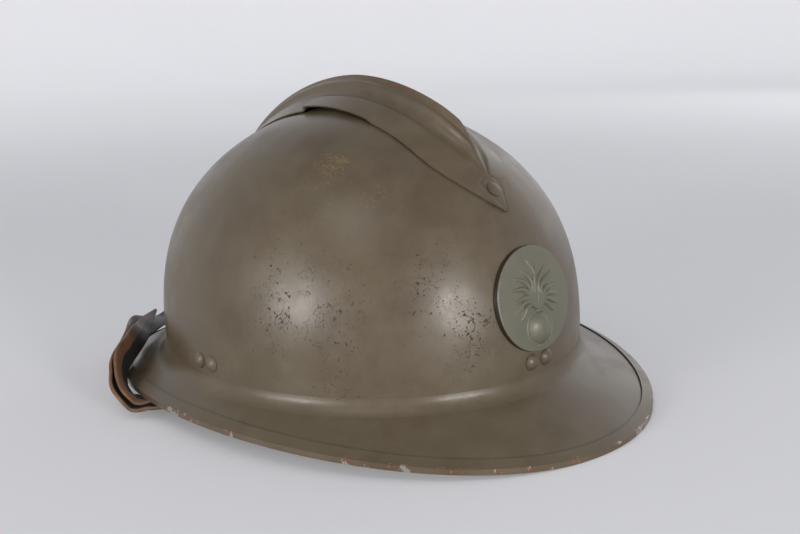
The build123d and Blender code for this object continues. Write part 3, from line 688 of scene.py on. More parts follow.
def paint_material(name, settings, chips=0.25, places=(), scuffs=(), rim=False, ridge=False):
    """Satin paint with slow changes of tone, chips, ochre scuffs and, at an edge, bare metal and rust."""
    material, build, shader, vector = new_material(name)
    tone = use(build, mottle_group(), Vector=vector, Scale=1.0)
    base = build.mix(build.times(tone["Patches"], 0.75), settings.paint, settings.shade)
    base = build.mix(build.times(tone["Clouds"], 0.28), base, settings.dust)
    speck = build.noise(vector, 420.0, 3.0, 0.7)
    base = build.mix(build.span(speck, 0.5, 0.8, 0.0, 0.32), base, settings.shade)
    amount = chips * settings.chips * 2
    if places:
        near = worn_places(build, vector, places)
        amount = build.plus(build.times(near, settings.chips * 2), amount)
    worn = use(build, chips_group(), Vector=vector, Scale=620.0, Amount=amount)
    fine = use(build, chips_group(), Vector=vector, Scale=1300.0, Amount=amount)
    chip = build.most(worn["Chip"], build.times(fine["Chip"], 0.8))
    base = build.mix(build.times(worn["Halo"], 0.35), base, settings.dust)
    if scuffs:
        near = worn_places(build, vector, scuffs)
        streaks = build.noise(build.stretched(vector, (1.0, 0.7, 1.0), (0.3, 0.2, 0.6)), 420.0, 7.0, 0.8, 1.4)
        broken = build.noise(vector, 1500.0, 2.0, 0.6)
        level = build.plus(streaks, build.times(near, 0.17))
        rub = build.span(level, 0.66, 0.74)
        rub = build.times(rub, build.span(near, 0.0, 0.3))
        rub = build.times(rub, build.span(broken, 0.4, 0.6, 0.2, 1.0))
        rub = build.times(rub, settings.scuffs)
        base = build.mix(rub, base, settings.scuff)
    base = build.mix(chip, base, settings.chip)
    gloss = build.span(tone["Clouds"], 0.0, 1.0, 0.31, 0.41)
    gloss = build.blend(chip, gloss, 0.75)
    if ridge:
        parts = build.add("ShaderNodeSeparateXYZ", {"Vector": vector}).outputs
        near = build.span(build.work("ABSOLUTE", parts["X"]), 0.005, 0.001)
        near = build.times(near, build.span(parts["Z"], 0.09, 0.135))
        level = build.plus(build.noise(vector, 260.0, 4.0, 0.7), build.times(near, 0.14))
        rub = build.times(build.span(level, 0.66, 0.74), near)
        base = build.mix(build.times(rub, 0.8), base, settings.rust)
    if rim:
        parts = build.add("ShaderNodeSeparateXYZ", {"Vector": vector}).outputs
        wide = build.work("DIVIDE", parts["X"], RIM_WIDTH / 2 * MM)
        long = build.work("DIVIDE", parts["Y"], RIM_LENGTH / 2 * MM)
        out = build.work("POWER", build.plus(build.times(wide, wide), build.times(long, long)), 0.5)
        at_edge = build.span(out, 0.9925, 0.9985)
        wear = build.times(build.noise(vector, 26.0, 1.0), 0.35)
        wear = build.plus(build.noise(vector, 130.0, 5.0, 0.75), wear)
        bare = build.times(build.span(wear, 0.74, 0.80), at_edge)
        rusty = build.times(build.span(wear, 0.66, 0.74), at_edge)
        base = build.mix(build.times(rusty, 0.6), base, settings.rust)
        base = build.mix(bare, base, settings.bare)
        gloss = build.blend(bare, gloss, 0.34)
        build.put(shader.inputs["Metallic"], bare)
    shader.inputs["Specular IOR Level"].default_value = 0.45
    height = build.times(tone["Skin"], 0.02)
    height = build.plus(height, build.times(tone["Dents"], 0.9))
    height = build.minus(height, build.times(chip, 0.07))
    coat_with(build, shader, base, gloss, height, 1.0, 0.85)
    return material


def metal_material(name, tone, rust, rust_level=0.5, roughness=(0.34, 0.55)):
    """Dull sheet metal with brushing, smudges and rust specks."""
    material, build, shader, vector = new_material(name)
    smudge = use(build, mottle_group(), Vector=vector, Scale=2.2)
    brush = build.noise(build.stretched(vector, (1.0, 1.0, 14.0)), 320.0, 3.0, 0.6)
    base = build.mix(build.times(smudge["Clouds"], 0.45), tone, dim(tone, 0.62))
    base = build.mix(build.span(brush, 0.4, 0.7, 0.0, 0.2), base, dim(tone, 0.5))
    specks = use(build, chips_group(), Vector=vector, Scale=900.0, Amount=rust_level)
    spots = build.most(specks["Chip"], build.times(specks["Halo"], 0.5))
    base = build.mix(spots, base, rust)
    build.put(shader.inputs["Metallic"], build.span(spots, 0.0, 1.0, 1.0, 0.0))
    gloss = build.blend(spots, build.span(smudge["Clouds"], 0.0, 1.0, *roughness), 0.85)
    height = build.plus(build.times(brush, 0.03), build.times(spots, -0.05))
    coat_with(build, shader, base, gloss, height, 0.5, 0.7)
    return material


def leather_material(name, fresh, worn, painted_shade=None, scale=700.0, coat=0.0):
    """Leather with pores, creases and rubbed patches. When a shade colour is given, the faces marked in the
    strap's mask are darkened to it as painted shade.
    """
    material, build, shader, vector = new_material(name)
    grain = use(build, grain_group(), Vector=vector, Scale=scale)
    base = build.mix(build.times(grain["Wear"], 0.55), fresh, worn)
    stain = build.noise(vector, 90.0, 3.0, 0.6)
    base = build.mix(build.span(stain, 0.5, 0.75, 0.0, 0.45), base, dim(fresh, 0.45))
    base = build.mix(build.times(grain["Creases"], 0.45), base, dim(fresh, 0.4))
    if painted_shade is not None:
        # Painted shade: the mask marks the strap's faces that are darkened to stand in for the shade on them.
        face = build.add("ShaderNodeAttribute", attribute_name="painted_shade_mask").outputs["Fac"]
        ragged = build.plus(face, build.times(build.noise(vector, 500.0, 2.0), 0.3))
        base = build.mix(build.span(ragged, 0.55, 0.75), base, painted_shade)
    shader.inputs["Specular IOR Level"].default_value = 0.4
    shader.inputs["Coat Weight"].default_value = coat
    shader.inputs["Coat Roughness"].default_value = 0.4
    gloss = build.span(grain["Wear"], 0.0, 1.0, 0.62, 0.44)
    coat_with(build, shader, base, gloss, grain["Height"], 0.35, 0.6)
    return material


def felt_material(settings):
    """Matted wool felt."""
    material, build, shader, vector = new_material("wool_felt")
    hairs = build.noise(build.stretched(vector, (1.0, 1.0, 3.0), (0.4, 0.7, 0.2)), 1400.0, 4.0, 0.75, 1.2)
    lumps = build.noise(vector, 240.0, 3.0, 0.6)
    base = build.mix(build.span(hairs, 0.35, 0.7), dim(settings.felt, 0.6), settings.felt)
    base = build.mix(build.span(lumps, 0.5, 0.7, 0.0, 0.35), base, dim(settings.felt, 1.35))
    shader.inputs["Sheen Weight"].default_value = 0.3
    gloss = build.span(lumps, 0.3, 0.7, 0.88, 0.98)
    coat_with(build, shader, base, gloss, build.plus(hairs, lumps), 0.6, 0.6)
    return material


def thread_material(name, tone):
    """Twisted cotton or waxed thread."""
    material, build, shader, vector = new_material(name)
    strands = build.noise(build.stretched(vector, (1.0, 1.0, 2.0)), 2600.0, 2.0, 0.6)
    dirt = build.noise(vector, 160.0, 3.0, 0.6)
    base = build.mix(build.span(strands, 0.4, 0.65), dim(tone, 0.55), tone)
    base = build.mix(build.span(dirt, 0.5, 0.75, 0.0, 0.6), base, dim(tone, 0.4))
    coat_with(build, shader, base, build.span(dirt, 0.3, 0.7, 0.75, 0.92), strands, 0.2, 0.6)
    return material


# Comb


def shell_reach(x, angle):
    """Distance from the comb's cross line to the shell's outer face, in a plane at an angle."""
    sine, cosine = sin(radians(angle)), cos(radians(angle))

    def inside(reach):
        height = COMB_CENTRE_HEIGHT + reach * cosine
        return height < DOME_RISE and hypot(x, reach * sine / OVAL_RATIO) < dome_radius(height)

    return halve(RIM_LENGTH, 40, inside)


def comb_place(x, lift, angle):
    reach = shell_reach(x, angle) + lift
    height = CREASE + COMB_CENTRE_HEIGHT + reach * cos(radians(angle))
    return Vector((x, reach * sin(radians(angle)), height)) * MM


def nose_row(from_tip):
    rows = NOSE_SHARES
    if from_tip <= rows[0][0]:
        return rows[0][1:]
    for low, high in zip(rows, rows[1:]):
        if from_tip <= high[0]:
            part = (from_tip - low[0]) / (high[0] - low[0])
            return [a + (b - a) * part for a, b in zip(low[1:], high[1:])]
    return rows[-1][1:]


def comb_corners(from_tip, lifted):
    """Edge, ledge, shoulder and top of half the comb's outer section, as width and lift."""
    turn = min(from_tip / COMB_TIP_ANGLE, 1.0) * pi / 2
    edge = COMB_WIDTH / 2 * max(sin(turn) ** COMB_TIP_POWER, 0.05)
    rest = COMB_GAP + COMB_SHEET
    flat = ((edge * COMB_FLAT_SHARES[0], rest), (edge * COMB_FLAT_SHARES[1], rest), rest)
    shares = nose_row(from_tip)
    full = (
        (COMB_LEDGE[0] * shares[0], COMB_LEDGE[1] * shares[1]),
        (COMB_SHOULDER[0] * shares[2], COMB_SHOULDER[1] * shares[3]),
        COMB_HEIGHT * shares[4],
    )
    part = ease((from_tip - COMB_FLAT_END) / (NOSE_SHARES[0][0] - COMB_FLAT_END))
    ledge = tuple(a + (b - a) * part for a, b in zip(flat[0], full[0]))
    shoulder = tuple(a + (b - a) * part for a, b in zip(flat[1], full[1]))
    top = flat[2] + (full[2] - flat[2]) * part
    return (edge, rest + lifted), ledge, shoulder, top


def comb_profile(place, corners):
    """A point of half the pressed section, from 0 at the flange's edge to 1 at the ridge."""
    edge, ledge, shoulder = (Vector(corner) for corner in corners[:3])
    top = corners[3]
    if place < 0.36:
        start, end = edge, ledge
        bend = Vector(((edge.x + ledge.x) / 2, edge.y + (ledge.y - edge.y) * 0.36))
        part = place / 0.36
    elif place < 0.68:
        start, end = ledge, shoulder
        bend = Vector((ledge.x + (shoulder.x - ledge.x) * 0.8, ledge.y * 0.74))
        part = (place - 0.36) / 0.32
    else:
        start, end = shoulder, Vector((0.0, top))
        bend = Vector((shoulder.x * 0.34, shoulder.y * 0.97 - (top - shoulder.y) * 0.06))
        part = (place - 0.68) / 0.32
    return start.lerp(bend, part).lerp(bend.lerp(end, part), part)


def comb_section(place, corners):
    """The pressed section with its bends rounded, as half width and lift."""
    reach = min(place, 0.036)
    total = Vector((0.0, 0.0))
    for step in range(-3, 4):
        spot = place + reach * step / 3
        point = comb_profile(spot if spot < 1 else 2 - spot, corners)
        total += Vector((point.x if spot < 1 else -point.x, point.y))
    return total / 7


class HELMET_OT_comb(bpy.types.Operator):
    """Models the comb as one pressed sheet with two tiers"""

    bl_idname = "helmet.comb"
    bl_label = "Comb"

    def execute(self, context):
        total = COMB_FRONT_ANGLE + COMB_REAR_ANGLE
        louver = [COMB_FRONT_ANGLE + angle for angle in LOUVER_ANGLES]
        along = 220
        obj = flat_cut("comb_sheet", 100, along)
        rows = []
        for index in range(along + 1):
            turn = total * index / along
            part = min(max((turn - louver[0]) / (louver[1] - louver[0]), 0.0), 1.0)
            lifted = LOUVER_LIFTS[0] + (LOUVER_LIFTS[1] - LOUVER_LIFTS[0]) * part
            lifted *= ease((turn - louver[0]) / LOUVER_BLENDS[0] + 0.5)
            lifted *= ease((louver[1] - turn) / LOUVER_BLENDS[1] + 0.5)
            rows.append((turn, comb_corners(min(turn, total - turn), lifted)))

        def place(across_share, along_share):
            turn, corners = rows[round(along_share * along)]
            side = 1 if across_share > 0.5 else -1
            width, lift = comb_section(1 - abs(across_share - 0.5) * 2, corners)
            return comb_place(side * width, lift, turn - COMB_FRONT_ANGLE)

        shape_sheet(obj, place, COMB_SHEET * 0.9, 32, offset=-1.0)
        paint = context.scene.helmet_paint
        material = paint_material("comb_paint", paint, 0.35, ridge=True)
        dress(obj, material, "helmet_paint", "helmet", "crest")
        return {"FINISHED"}


# Shell and metal


class HELMET_OT_shell(bpy.types.Operator):
    """Paints the shell, its rim and its rivets"""

    bl_idname = "helmet.shell"
    bl_label = "Shell and rim"

    def execute(self, context):
        paint = context.scene.helmet_paint
        repaint("shell", paint_material("shell_paint", paint, 0.22, CHIP_PLACES, SCUFF_PLACES))
        repaint("rim_binding", paint_material("rim_paint", paint, 0.3, rim=True))
        rivet = paint_material("rivet_paint", paint, 0.8)
        for node in ("crest_rivets", "liner_rivets", "bail_rivets"):
            repaint(node, rivet)
        return {"FINISHED"}


class HELMET_OT_metal(bpy.types.Operator):
    """Finishes the brackets, hoop, spacers, bails and strap slider"""

    bl_idname = "helmet.metal"
    bl_label = "Metal fittings"

    def execute(self, context):
        metal = context.scene.helmet_metal
        steel = metal_material("dull_steel", metal.steel, metal.rust, 0.8)
        light = metal_material("dull_aluminium", metal.aluminium, dim(metal.aluminium, 0.5), 0.3)
        wire = metal_material("bail_wire", dim(metal.steel, 0.9), metal.rust, 0.6, (0.28, 0.45))
        buckle = metal_material("buckle_steel", dim(metal.steel, 0.7), metal.rust, 0.9, (0.3, 0.5))
        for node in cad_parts:
            if node.startswith(("liner_bracket", "badge_prongs", "bail_plate")):
                repaint(node, steel)
            elif node.startswith(("spacer", "liner_hoop", "hoop_rivets")):
                repaint(node, light)
            elif node in ("bail_right", "bail_left"):
                repaint(node, wire)
            elif node == "strap_slider":
                repaint(node, buckle)
        return {"FINISHED"}


# Badge


def flame_lines():
    """Middle lines of the badge's flames in the plate's plane, as points with half widths."""
    lines = []
    leans = (-104.0, -86.0, -69.0, -53.0, -37.0, -22.0, -7.0, 9.0, 24.0, 39.0, 55.0, 71.0, 88.0, 105.0)
    for index, lean in enumerate(leans):
        length = 13.2 + 8.4 * cos(radians(lean * 0.8)) ** 1.5 + 0.9 * sin(index * 2.3)
        curl = 34.0 * abs(lean) / 90 * (1 if lean > 0 else -1)
        points = []
        x, y = sin(radians(lean)) * 0.8, -FLAME_ROOT_DROP
        steps = 26
        for step in range(steps + 1):
            part = step / steps
            sway = 24.0 * sin(part * pi * 2.3 + index * 0.3 * (1 if lean > 0 else -1)) * min(part * 2.5, 1.0)
            heading = radians(lean * (0.35 + 0.65 * min(part * 2.6, 1.0)) + curl * part**2 + sway)
            width = (0.5 + 0.95 * sin(min(part * 1.5, 1.0) * pi / 2)) * (1 - part**2.6) ** 0.7
            points.append((x, y, max(width, 0.16)))
            x += sin(heading) * length / steps
            y += cos(heading) * length / steps
        lines.append(np.array(points))
    return lines


def badge_relief(x, y):
    """Height of the badge's stamped face above its plate at arrays of places."""
    height = np.zeros_like(x)
    for line in flame_lines():
        best = np.full_like(x, -1.0)
        for start, end in zip(line, line[1:]):
            run = end[:2] - start[:2]
            size = float(run @ run) + 1e-9
            part = np.clip(((x - start[0]) * run[0] + (y - start[1]) * run[1]) / size, 0.0, 1.0)
            gap = np.hypot(x - start[0] - part * run[0], y - start[1] - part * run[1])
            width = start[2] + (end[2] - start[2]) * part
            ridge = np.clip(1 - (gap / width) ** 2, 0.0, 1.0) ** 0.75 * np.minimum(width / 1.2, 1.0)
            best = np.maximum(best, ridge)
        height = np.maximum(height, best * FLAME_RISE)
    gap = np.hypot(x, y + BALL_DROP)
    cap = (BALL_RADIUS**2 + BALL_RISE**2) / (2 * BALL_RISE)
    dome = np.sqrt(np.clip(cap**2 - gap**2, 0.0, None)) - (cap - BALL_RISE)
    height = np.maximum(height, np.where(gap < BALL_RADIUS, dome, 0.0))
    height += 0.28 * np.exp(-(((gap - BALL_RADIUS - 0.9) / 0.42) ** 2))
    across = np.clip(1 - (np.abs(x) / 2.3) ** 4, 0.0, 1.0)
    neck = across * np.clip(1 - (np.abs(y + FLAME_ROOT_DROP + 0.6) / 0.9) ** 4, 0.0, 1.0)
    return np.maximum(height, neck * 1.3)


def shell_gap(point, normal):
    """How far a point stands off the shell along a normal, in millimetres."""

    def outside(reach):
        spot = point - normal * reach
        return hypot(spot.x, spot.y / OVAL_RATIO) >= dome_radius(spot.z - CREASE)

    return halve(12.0, 24, outside)


class HELMET_OT_badge(bpy.types.Operator):
    """Models the stamped badge with its ball and flames"""

    bl_idname = "helmet.badge"
    bl_label = "Badge"

    def execute(self, context):
        obj = flat_cut("badge_plate", 360, 150)
        count = len(obj.data.vertices)
        flat = np.zeros(count * 3)
        obj.data.vertices.foreach_get("co", flat)
        flat = flat.reshape(-1, 3)
        angle = (flat[:, 0] + 0.5) * 2 * pi
        out = flat[:, 1] + 0.5
        radius = dome_radius(BADGE_HEIGHT)
        slope = (dome_radius(BADGE_HEIGHT + 0.1) - dome_radius(BADGE_HEIGHT - 0.1)) / 0.2
        normal = Vector((0.0, -1.0 / OVAL_RATIO, -slope)).normalized()
        right = Vector((0.0, 0.0, 1.0)).cross(normal).normalized()
        up = normal.cross(right)
        centre = Vector((0.0, -radius * OVAL_RATIO, CREASE + BADGE_HEIGHT))
        top = BADGE_GAP + BADGE_SHEET
        turns = [radians(index * 5) for index in range(73)]
        edges = [centre + (right * sin(turn) + up * cos(turn)) * BADGE_RADIUS for turn in turns]
        foot = BADGE_FOOT_GAP - np.interp(angle, turns, [shell_gap(edge, normal) for edge in edges])
        high = top - BADGE_CROWN
        inner = BADGE_RADIUS - 0.7
        marks = (0.0, 0.86, 0.88, 0.9, 0.94, 0.95, 0.97, 1.0)
        radii = (0.0, BADGE_RADIUS - 0.4, BADGE_RADIUS - 0.12, BADGE_RADIUS, BADGE_RADIUS, inner, inner, 0.0)
        face = np.interp(out, marks, radii)
        x, y = face * np.sin(angle), face * np.cos(angle)
        crown = BADGE_CROWN * (1 - (face / BADGE_RADIUS) ** 2)
        height = high + crown + np.where(out <= 0.86, badge_relief(x, y), 0.0)
        height -= np.interp(out, (0.86, 0.88, 0.9), (0.0, 0.1, 0.4))
        skirt = np.clip((out - 0.9) / 0.04, 0.0, 1.0)
        height = np.where((out > 0.9) & (out <= 0.95), height + (foot - high + 0.4) * skirt, height)
        back = high + crown - BADGE_SHEET
        height = np.where(out > 0.95, back, height)
        for vertex, px, py, pz in zip(obj.data.vertices, x, y, height):
            vertex.co = (centre + right * px + up * py + normal * pz) * MM
        # The skirt under the disc's edge is marked for painted shade: its dark colour stands in for the
        # shaded gap behind the disc.
        painted_shade = obj.data.attributes.new("skirt", "FLOAT", "POINT")
        painted_shade.data.foreach_set("value", np.clip((out - 0.885) / 0.02, 0.0, 1.0))
        edit(obj, merge_doubles, face_out)
        shade(obj, 50)
        material = badge_material(context.scene.helmet_paint)
        dress(obj, material, "badge_paint", "helmet", "badge_disc")
        return {"FINISHED"}


def badge_material(settings):
    """The badge's paint: a greyer green, rubbed on the high places, with its skirt darkened as painted shade
    of the gap behind the disc's edge.
    """
    material, build, shader, vector = new_material("badge_paint")
    tone = use(build, mottle_group(), Vector=vector, Scale=2.0)
    base = build.mix(build.times(tone["Patches"], 0.5), settings.badge, dim(settings.badge, 0.78))
    base = build.mix(build.times(tone["Clouds"], 0.25), base, settings.dust)
    worn = use(build, chips_group(), Vector=vector, Scale=900.0, Amount=0.35)
    base = build.mix(build.times(worn["Halo"], 0.4), base, settings.dust)
    base = build.mix(worn["Chip"], base, settings.chip)
    # Painted shade: the skirt under the disc's edge is darkened to stand in for the shaded gap behind it.
    skirt = build.add("ShaderNodeAttribute", attribute_name="skirt").outputs["Fac"]
    base = build.mix(skirt, base, dim(settings.chip, 0.75))
    height = build.minus(build.times(tone["Skin"], 0.03), build.times(worn["Chip"], 0.06))
    coat_with(build, shader, base, build.span(tone["Clouds"], 0.0, 1.0, 0.36, 0.46), height, 0.8, 0.8)
    return material


# Liner


def stitches(name, places, size):
    """A row of short stitches: places are middles, directions along the seam and normals."""
    deselect()
    bpy.ops.mesh.primitive_uv_sphere_add(segments=6, ring_count=4, radius=0.5)
    one = bpy.context.active_object
    corners = [vertex.co.copy() for vertex in one.data.vertices]
    faces = [tuple(face.vertices) for face in one.data.polygons]
    bpy.data.objects.remove(one)
    all_corners, all_faces = [], []
    for middle, along, normal in places:
        side = normal.cross(along).normalized()
        offset = len(all_corners)
        for corner in corners:
            width = side * corner.y * size[1] + normal * corner.z * size[1]
            all_corners.append(middle + along * corner.x * size[0] + width)
        all_faces += [tuple(index + offset for index in face) for face in faces]
    mesh = bpy.data.meshes.new(name)
    mesh.from_pydata(all_corners, [], all_faces)
    obj = bpy.data.objects.new(name, mesh)
    bpy.context.scene.collection.objects.link(obj)
    shade(obj)
    return obj


def band_point(turn, inset, height):
    return oval_point(dome_radius(height) - inset, turn, height)


def band_normal(turn):
    angle = radians(turn)
    return Vector((-sin(angle), cos(angle) / OVAL_RATIO, 0.0)).normalized()


class HELMET_OT_felt(bpy.types.Operator):
    """Models the felt pad behind the leather band"""

    bl_idname = "helmet.felt"
    bl_label = "Felt"

    def execute(self, context):
        obj = flat_cut("felt_pad", 240, 16)
        low = BAND_LOW + BAND_THICKNESS + SOFT_GAP + 0.1
        middle = FELT_INSET + FELT_THICKNESS / 2

        def place(across, along):
            turn = across * 360
            wave = 0.12 * sin(radians(turn * 9)) + 0.08 * sin(radians(turn * 23 + 40))
            height = low + (FELT_TOP - low - 0.1) * along + 0.25 * wave * along
            return band_point(turn, middle + wave * 0.6, height)

        shape_sheet(obj, place, FELT_THICKNESS * 0.86, 60, 0.6)
        dress(obj, felt_material(context.scene.helmet_leather), "felt", "helmet", "liner_felt")
        return {"FINISHED"}


class HELMET_OT_band(bpy.types.Operator):
    """Models the leather band round the head, with its folded edge and its seam"""

    bl_idname = "helmet.band"
    bl_label = "Leather band"

    def execute(self, context):
        leather = context.scene.helmet_leather
        half = BAND_THICKNESS / 2
        path = [
            (FELT_INSET + 0.3, BAND_LOW + half),
            (FELT_INSET + 1.6, BAND_LOW + half),
            (BAND_INSET - 0.6, BAND_LOW + half + 0.05),
            (BAND_INSET + half - 0.35, BAND_LOW + half + 0.5),
            (BAND_INSET + half, BAND_LOW + 2.4),
            (BAND_INSET + half, BAND_LOW + 7.0),
            (BAND_INSET + half, BAND_LOW + 12.0),
            (BAND_INSET + half, BAND_TOP - 6.0),
            (BAND_INSET + half, BAND_TOP - 0.1),
        ]
        path = [Vector(point) for point in path]
        obj = flat_cut("leather_band", 288, 32)

        def place(across, along_share):
            turn = across * 360
            inset, height = smooth(path, along_share * (len(path) - 1) * ALMOST_ONE)
            wave = 0.1 * sin(radians(turn * 7)) * sin(along_share * pi)
            return band_point(turn, inset + wave, height)

        shape_sheet(obj, place, BAND_THICKNESS * 0.94, 50, 0.3)
        material = leather_material("liner_leather", leather.liner, leather.liner_worn, scale=850.0)
        dress(obj, material, "liner_leather", "helmet", "sweatband")
        places = []
        inset = BAND_INSET + BAND_THICKNESS - 0.08
        for height in BAND_SEAMS:
            for index in range(BAND_STITCH_COUNT):
                turn = 360 * index / BAND_STITCH_COUNT
                middle = band_point(turn, inset, height)
                along = (band_point(turn + 1, inset, height) - middle).normalized()
                places.append((middle, along, band_normal(turn)))
        seam = stitches("band_stitches", places, (2.3 * MM, 0.5 * MM))
        dress(seam, thread_material("waxed_thread", leather.thread), "cord", "helmet")
        return {"FINISHED"}


def tongue_path():
    """A tongue's line from its root over the crown and round the drawstring, as radius and height."""
    root_height = BAND_TOP + SOFT_GAP
    rise = DOME_RISE - root_height - CROWN_SPACE - TONGUE_THICKNESS / 2
    run = dome_radius(BAND_TOP) - BAND_INSET - SOFT_GAP - CORD_RADIUS - TONGUE_THICKNESS / 2
    points = []
    for step in range(17):
        angle = radians(76.0 * step / 16)
        points.append(Vector((CORD_RADIUS + run * cos(angle), root_height + rise * sin(angle))))
    centre = Vector((CORD_RADIUS, root_height + rise))
    for angle in HEM_ANGLES:
        points.append(centre + Vector((cos(radians(angle)), sin(radians(angle)))) * HEM_RADIUS)
    for place in HEM_FLAP_SHARES:
        points.append(centre + Vector(place) * HEM_RADIUS)
    return points


class HELMET_OT_tongues(bpy.types.Operator):
    """Models the seven leather tongues, hemmed round the drawstring"""

    bl_idname = "helmet.tongues"
    bl_label = "Liner tongues"

    def execute(self, context):
        leather = context.scene.helmet_leather
        material = leather_material("tongue_leather", leather.liner, leather.liner_worn, scale=780.0)
        thread = bpy.data.materials["waxed_thread"]
        path = tongue_path()
        root_radius = dome_radius(BAND_TOP) - BAND_INSET - SOFT_GAP
        root_half = root_radius * tan(pi / TONGUE_COUNT) - TONGUE_ROOT_GAP / 2
        tip_half = CORD_RADIUS * tan(pi / TONGUE_COUNT) - TONGUE_TIP_GAP / 2
        seam_height = path[17].y - HEM_RADIUS * sin(radians(HEM_ANGLES[0])) - HEM_STITCH_DROP
        for index in range(TONGUE_COUNT):
            turn = 360 / TONGUE_COUNT * index
            name = f"tongue_{index + 1}"
            obj = flat_cut(name, 22, 84)

            def place(across, along):
                side = across * 2 - 1
                radius, height = smooth(path, along * (len(path) - 1) * ALMOST_ONE)
                part = min(max((radius - CORD_RADIUS) / (root_radius - CORD_RADIUS), 0.0), 1.0)
                half = tip_half + (root_half - tip_half) * part
                curl = 0.35 * sin(along * 9 + index * 1.7) * side * side * (1 - part)
                spread = degrees(asin(min(half * side / max(radius, 1.0), 1.0)))
                return oval_point(radius + curl * 0.3, turn + spread, height - abs(curl) * 0.4)

            shape_sheet(obj, place, TONGUE_THICKNESS * 0.92, 50, 0.28, even=False)
            dress(obj, material, "liner_leather", "helmet", f"liner_tongue_{index + 1}")
            places = []
            radius = CORD_RADIUS + HEM_STITCH_REACH
            for step in range(7):
                side = (step / 3 - 1) * 0.78
                seat = turn + degrees(asin(tip_half * side / radius))
                middle = oval_point(radius, seat, seam_height)
                along = (oval_point(radius, seat + 1, seam_height) - middle).normalized()
                places.append((middle, along, Vector((0.0, 0.0, -1.0))))
            seam = stitches(f"tongue_stitches_{index + 1}", places, (2.0 * MM, 0.5 * MM))
            dress(seam, thread, "cord", "helmet")
        return {"FINISHED"}


class HELMET_OT_drawstring(bpy.types.Operator):
    """Models the laced drawstring, its knot and its two short ends"""

    bl_idname = "helmet.drawstring"
    bl_label = "Drawstring"

    def execute(self, context):
        leather = context.scene.helmet_leather
        height = BAND_TOP + SOFT_GAP + (DOME_RISE - BAND_TOP - SOFT_GAP - CROWN_SPACE) - TONGUE_THICKNESS / 2
        pieces = []
        turns, steps, strands = 24, 10, 3
        strand_radius = CORD_DIAMETER * 0.27
        offset = CORD_DIAMETER / 2 - strand_radius
        for strand in range(strands):
            points = []
            for step in range(turns * steps):
                turn = 360 * step / (turns * steps)
                twist = radians(360 * step / steps + 360 / strands * strand)
                radius = CORD_RADIUS + offset * cos(twist)
                points.append(oval_point(radius, turn, height + offset * sin(twist)))
            pieces.append(tube(f"strand_{strand}", points, strand_radius * 2 * MM, True, 1))
        knot = oval_point(CORD_RADIUS, 180, height)
        for side in (-1, 1):
            lean = radians(CORD_END_SPREAD * side)
            down = Vector((sin(lean), 0.0, -cos(lean)))
            across = Vector((cos(lean), 0.0, sin(lean)))
            for strand in range(strands):
                points = []
                for step in range(33):
                    part = step / 32
                    twist = 2 * pi * (part * 2.6 + strand / strands)
                    fray = offset * (1 + 0.5 * max(part - 0.88, 0.0) * 8)
                    place = knot + down * part * CORD_END_LENGTH * MM
                    place += (across * cos(twist) + Vector((0, 1, 0)) * sin(twist)) * fray * MM
                    points.append(place)
                pieces.append(tube("strand_end", points, strand_radius * 2 * MM, False, 1))
        points = []
        for step in range(48):
            turn = 2 * pi * step / 48
            x = sin(turn) + 2 * sin(2 * turn)
            z = cos(turn) - 2 * cos(2 * turn)
            points.append(knot + Vector((x, -sin(3 * turn) * 1.2, z)) * (KNOT_DIAMETER / 2 - 1.0) / 3 * MM)
        pieces.append(tube("strand_knot", points, CORD_DIAMETER * 0.85 * MM, True, 2))
        obj = joined(pieces, "drawstring_cord")
        edit(obj, merge_doubles, face_out)
        shade(obj)
        material = thread_material("cotton_cord", leather.cord)
        dress(obj, material, "cord", "helmet", "drawstring")
        return {"FINISHED"}


# Chinstrap


def rim_station(turn, out_share, up_share, lean):
    """A place of the strap near the rim's edge, with the way it faces out and its lean."""
    angle = radians(turn)
    edge = Vector((-RIM_WIDTH / 2 * sin(angle), -RIM_LENGTH / 2 * cos(angle), 0.0))
    out = Vector((edge.x / RIM_WIDTH**2, edge.y / RIM_LENGTH**2, 0.0)).normalized()
    height = rim_top(edge.x, edge.y) + up_share * STRAP_WIDTH
    place = edge + out * (out_share * STRAP_WIDTH) + Vector((0.0, 0.0, height))
    return place, out, lean


def upright(out, lean):
    angle = radians(lean)
    return Vector((0.0, 0.0, cos(angle))) + out * sin(angle)


def rear_station(angle):
    """A place of the strap on its circle behind the dome."""
    turn = radians(angle)
    out = Vector((-sin(turn), cos(turn), 0.0))
    reach = DOME_LENGTH / 2 + STRAP_REAR_CLEARANCE
    centre = Vector((0.0, reach - STRAP_REAR_RADIUS, rim_top(0.0, reach) + STRAP_REAR_RISE))
    return centre + out * STRAP_REAR_RADIUS, out, STRAP_REAR_LEAN


def way_stations():
    rows = [rim_station(*row) for row in STRAP_WAY]
    rows.append(rear_station(STRAP_REAR_HALF_ANGLE))
    return [(place, upright(out, lean), 1.0) for place, out, lean in rows]


def way_at(place):
    stations = way_stations()
    return [smooth([station[index] for station in stations], place) for index in range(3)]


def strap_section(width, thickness, corner=STRAP_CORNER_SHARE):
    """Points round a strap's section: across its width, in to the dome, and the face (1 in, -1 out)."""
    radius = thickness * corner
    flat = width / 2 - radius
    points = []
    for face in (1, -1):
        for step in range(9):
            points.append((face * (2 * flat * step / 8 - flat), face * thickness / 2, face))
        for angle in (60, 30, 0, -30, -60):
            up = (thickness / 2 - radius) * ((angle > 0) - (angle < 0)) + radius * sin(radians(angle))
            points.append((face * (flat + radius * cos(radians(angle))), face * up, 0))
    return points


def shade_inner_face(across, side):
    """Painted shade: the face towards the dome is darkened."""
    return 1.0 if side == 1 else 0.15


def shade_low_faces(across, side):
    """Painted shade: both faces are darkened but for the upper part of the one towards the dome."""
    return 0.15 if side == 0 or (side == 1 and across > 0.5) else 1.0


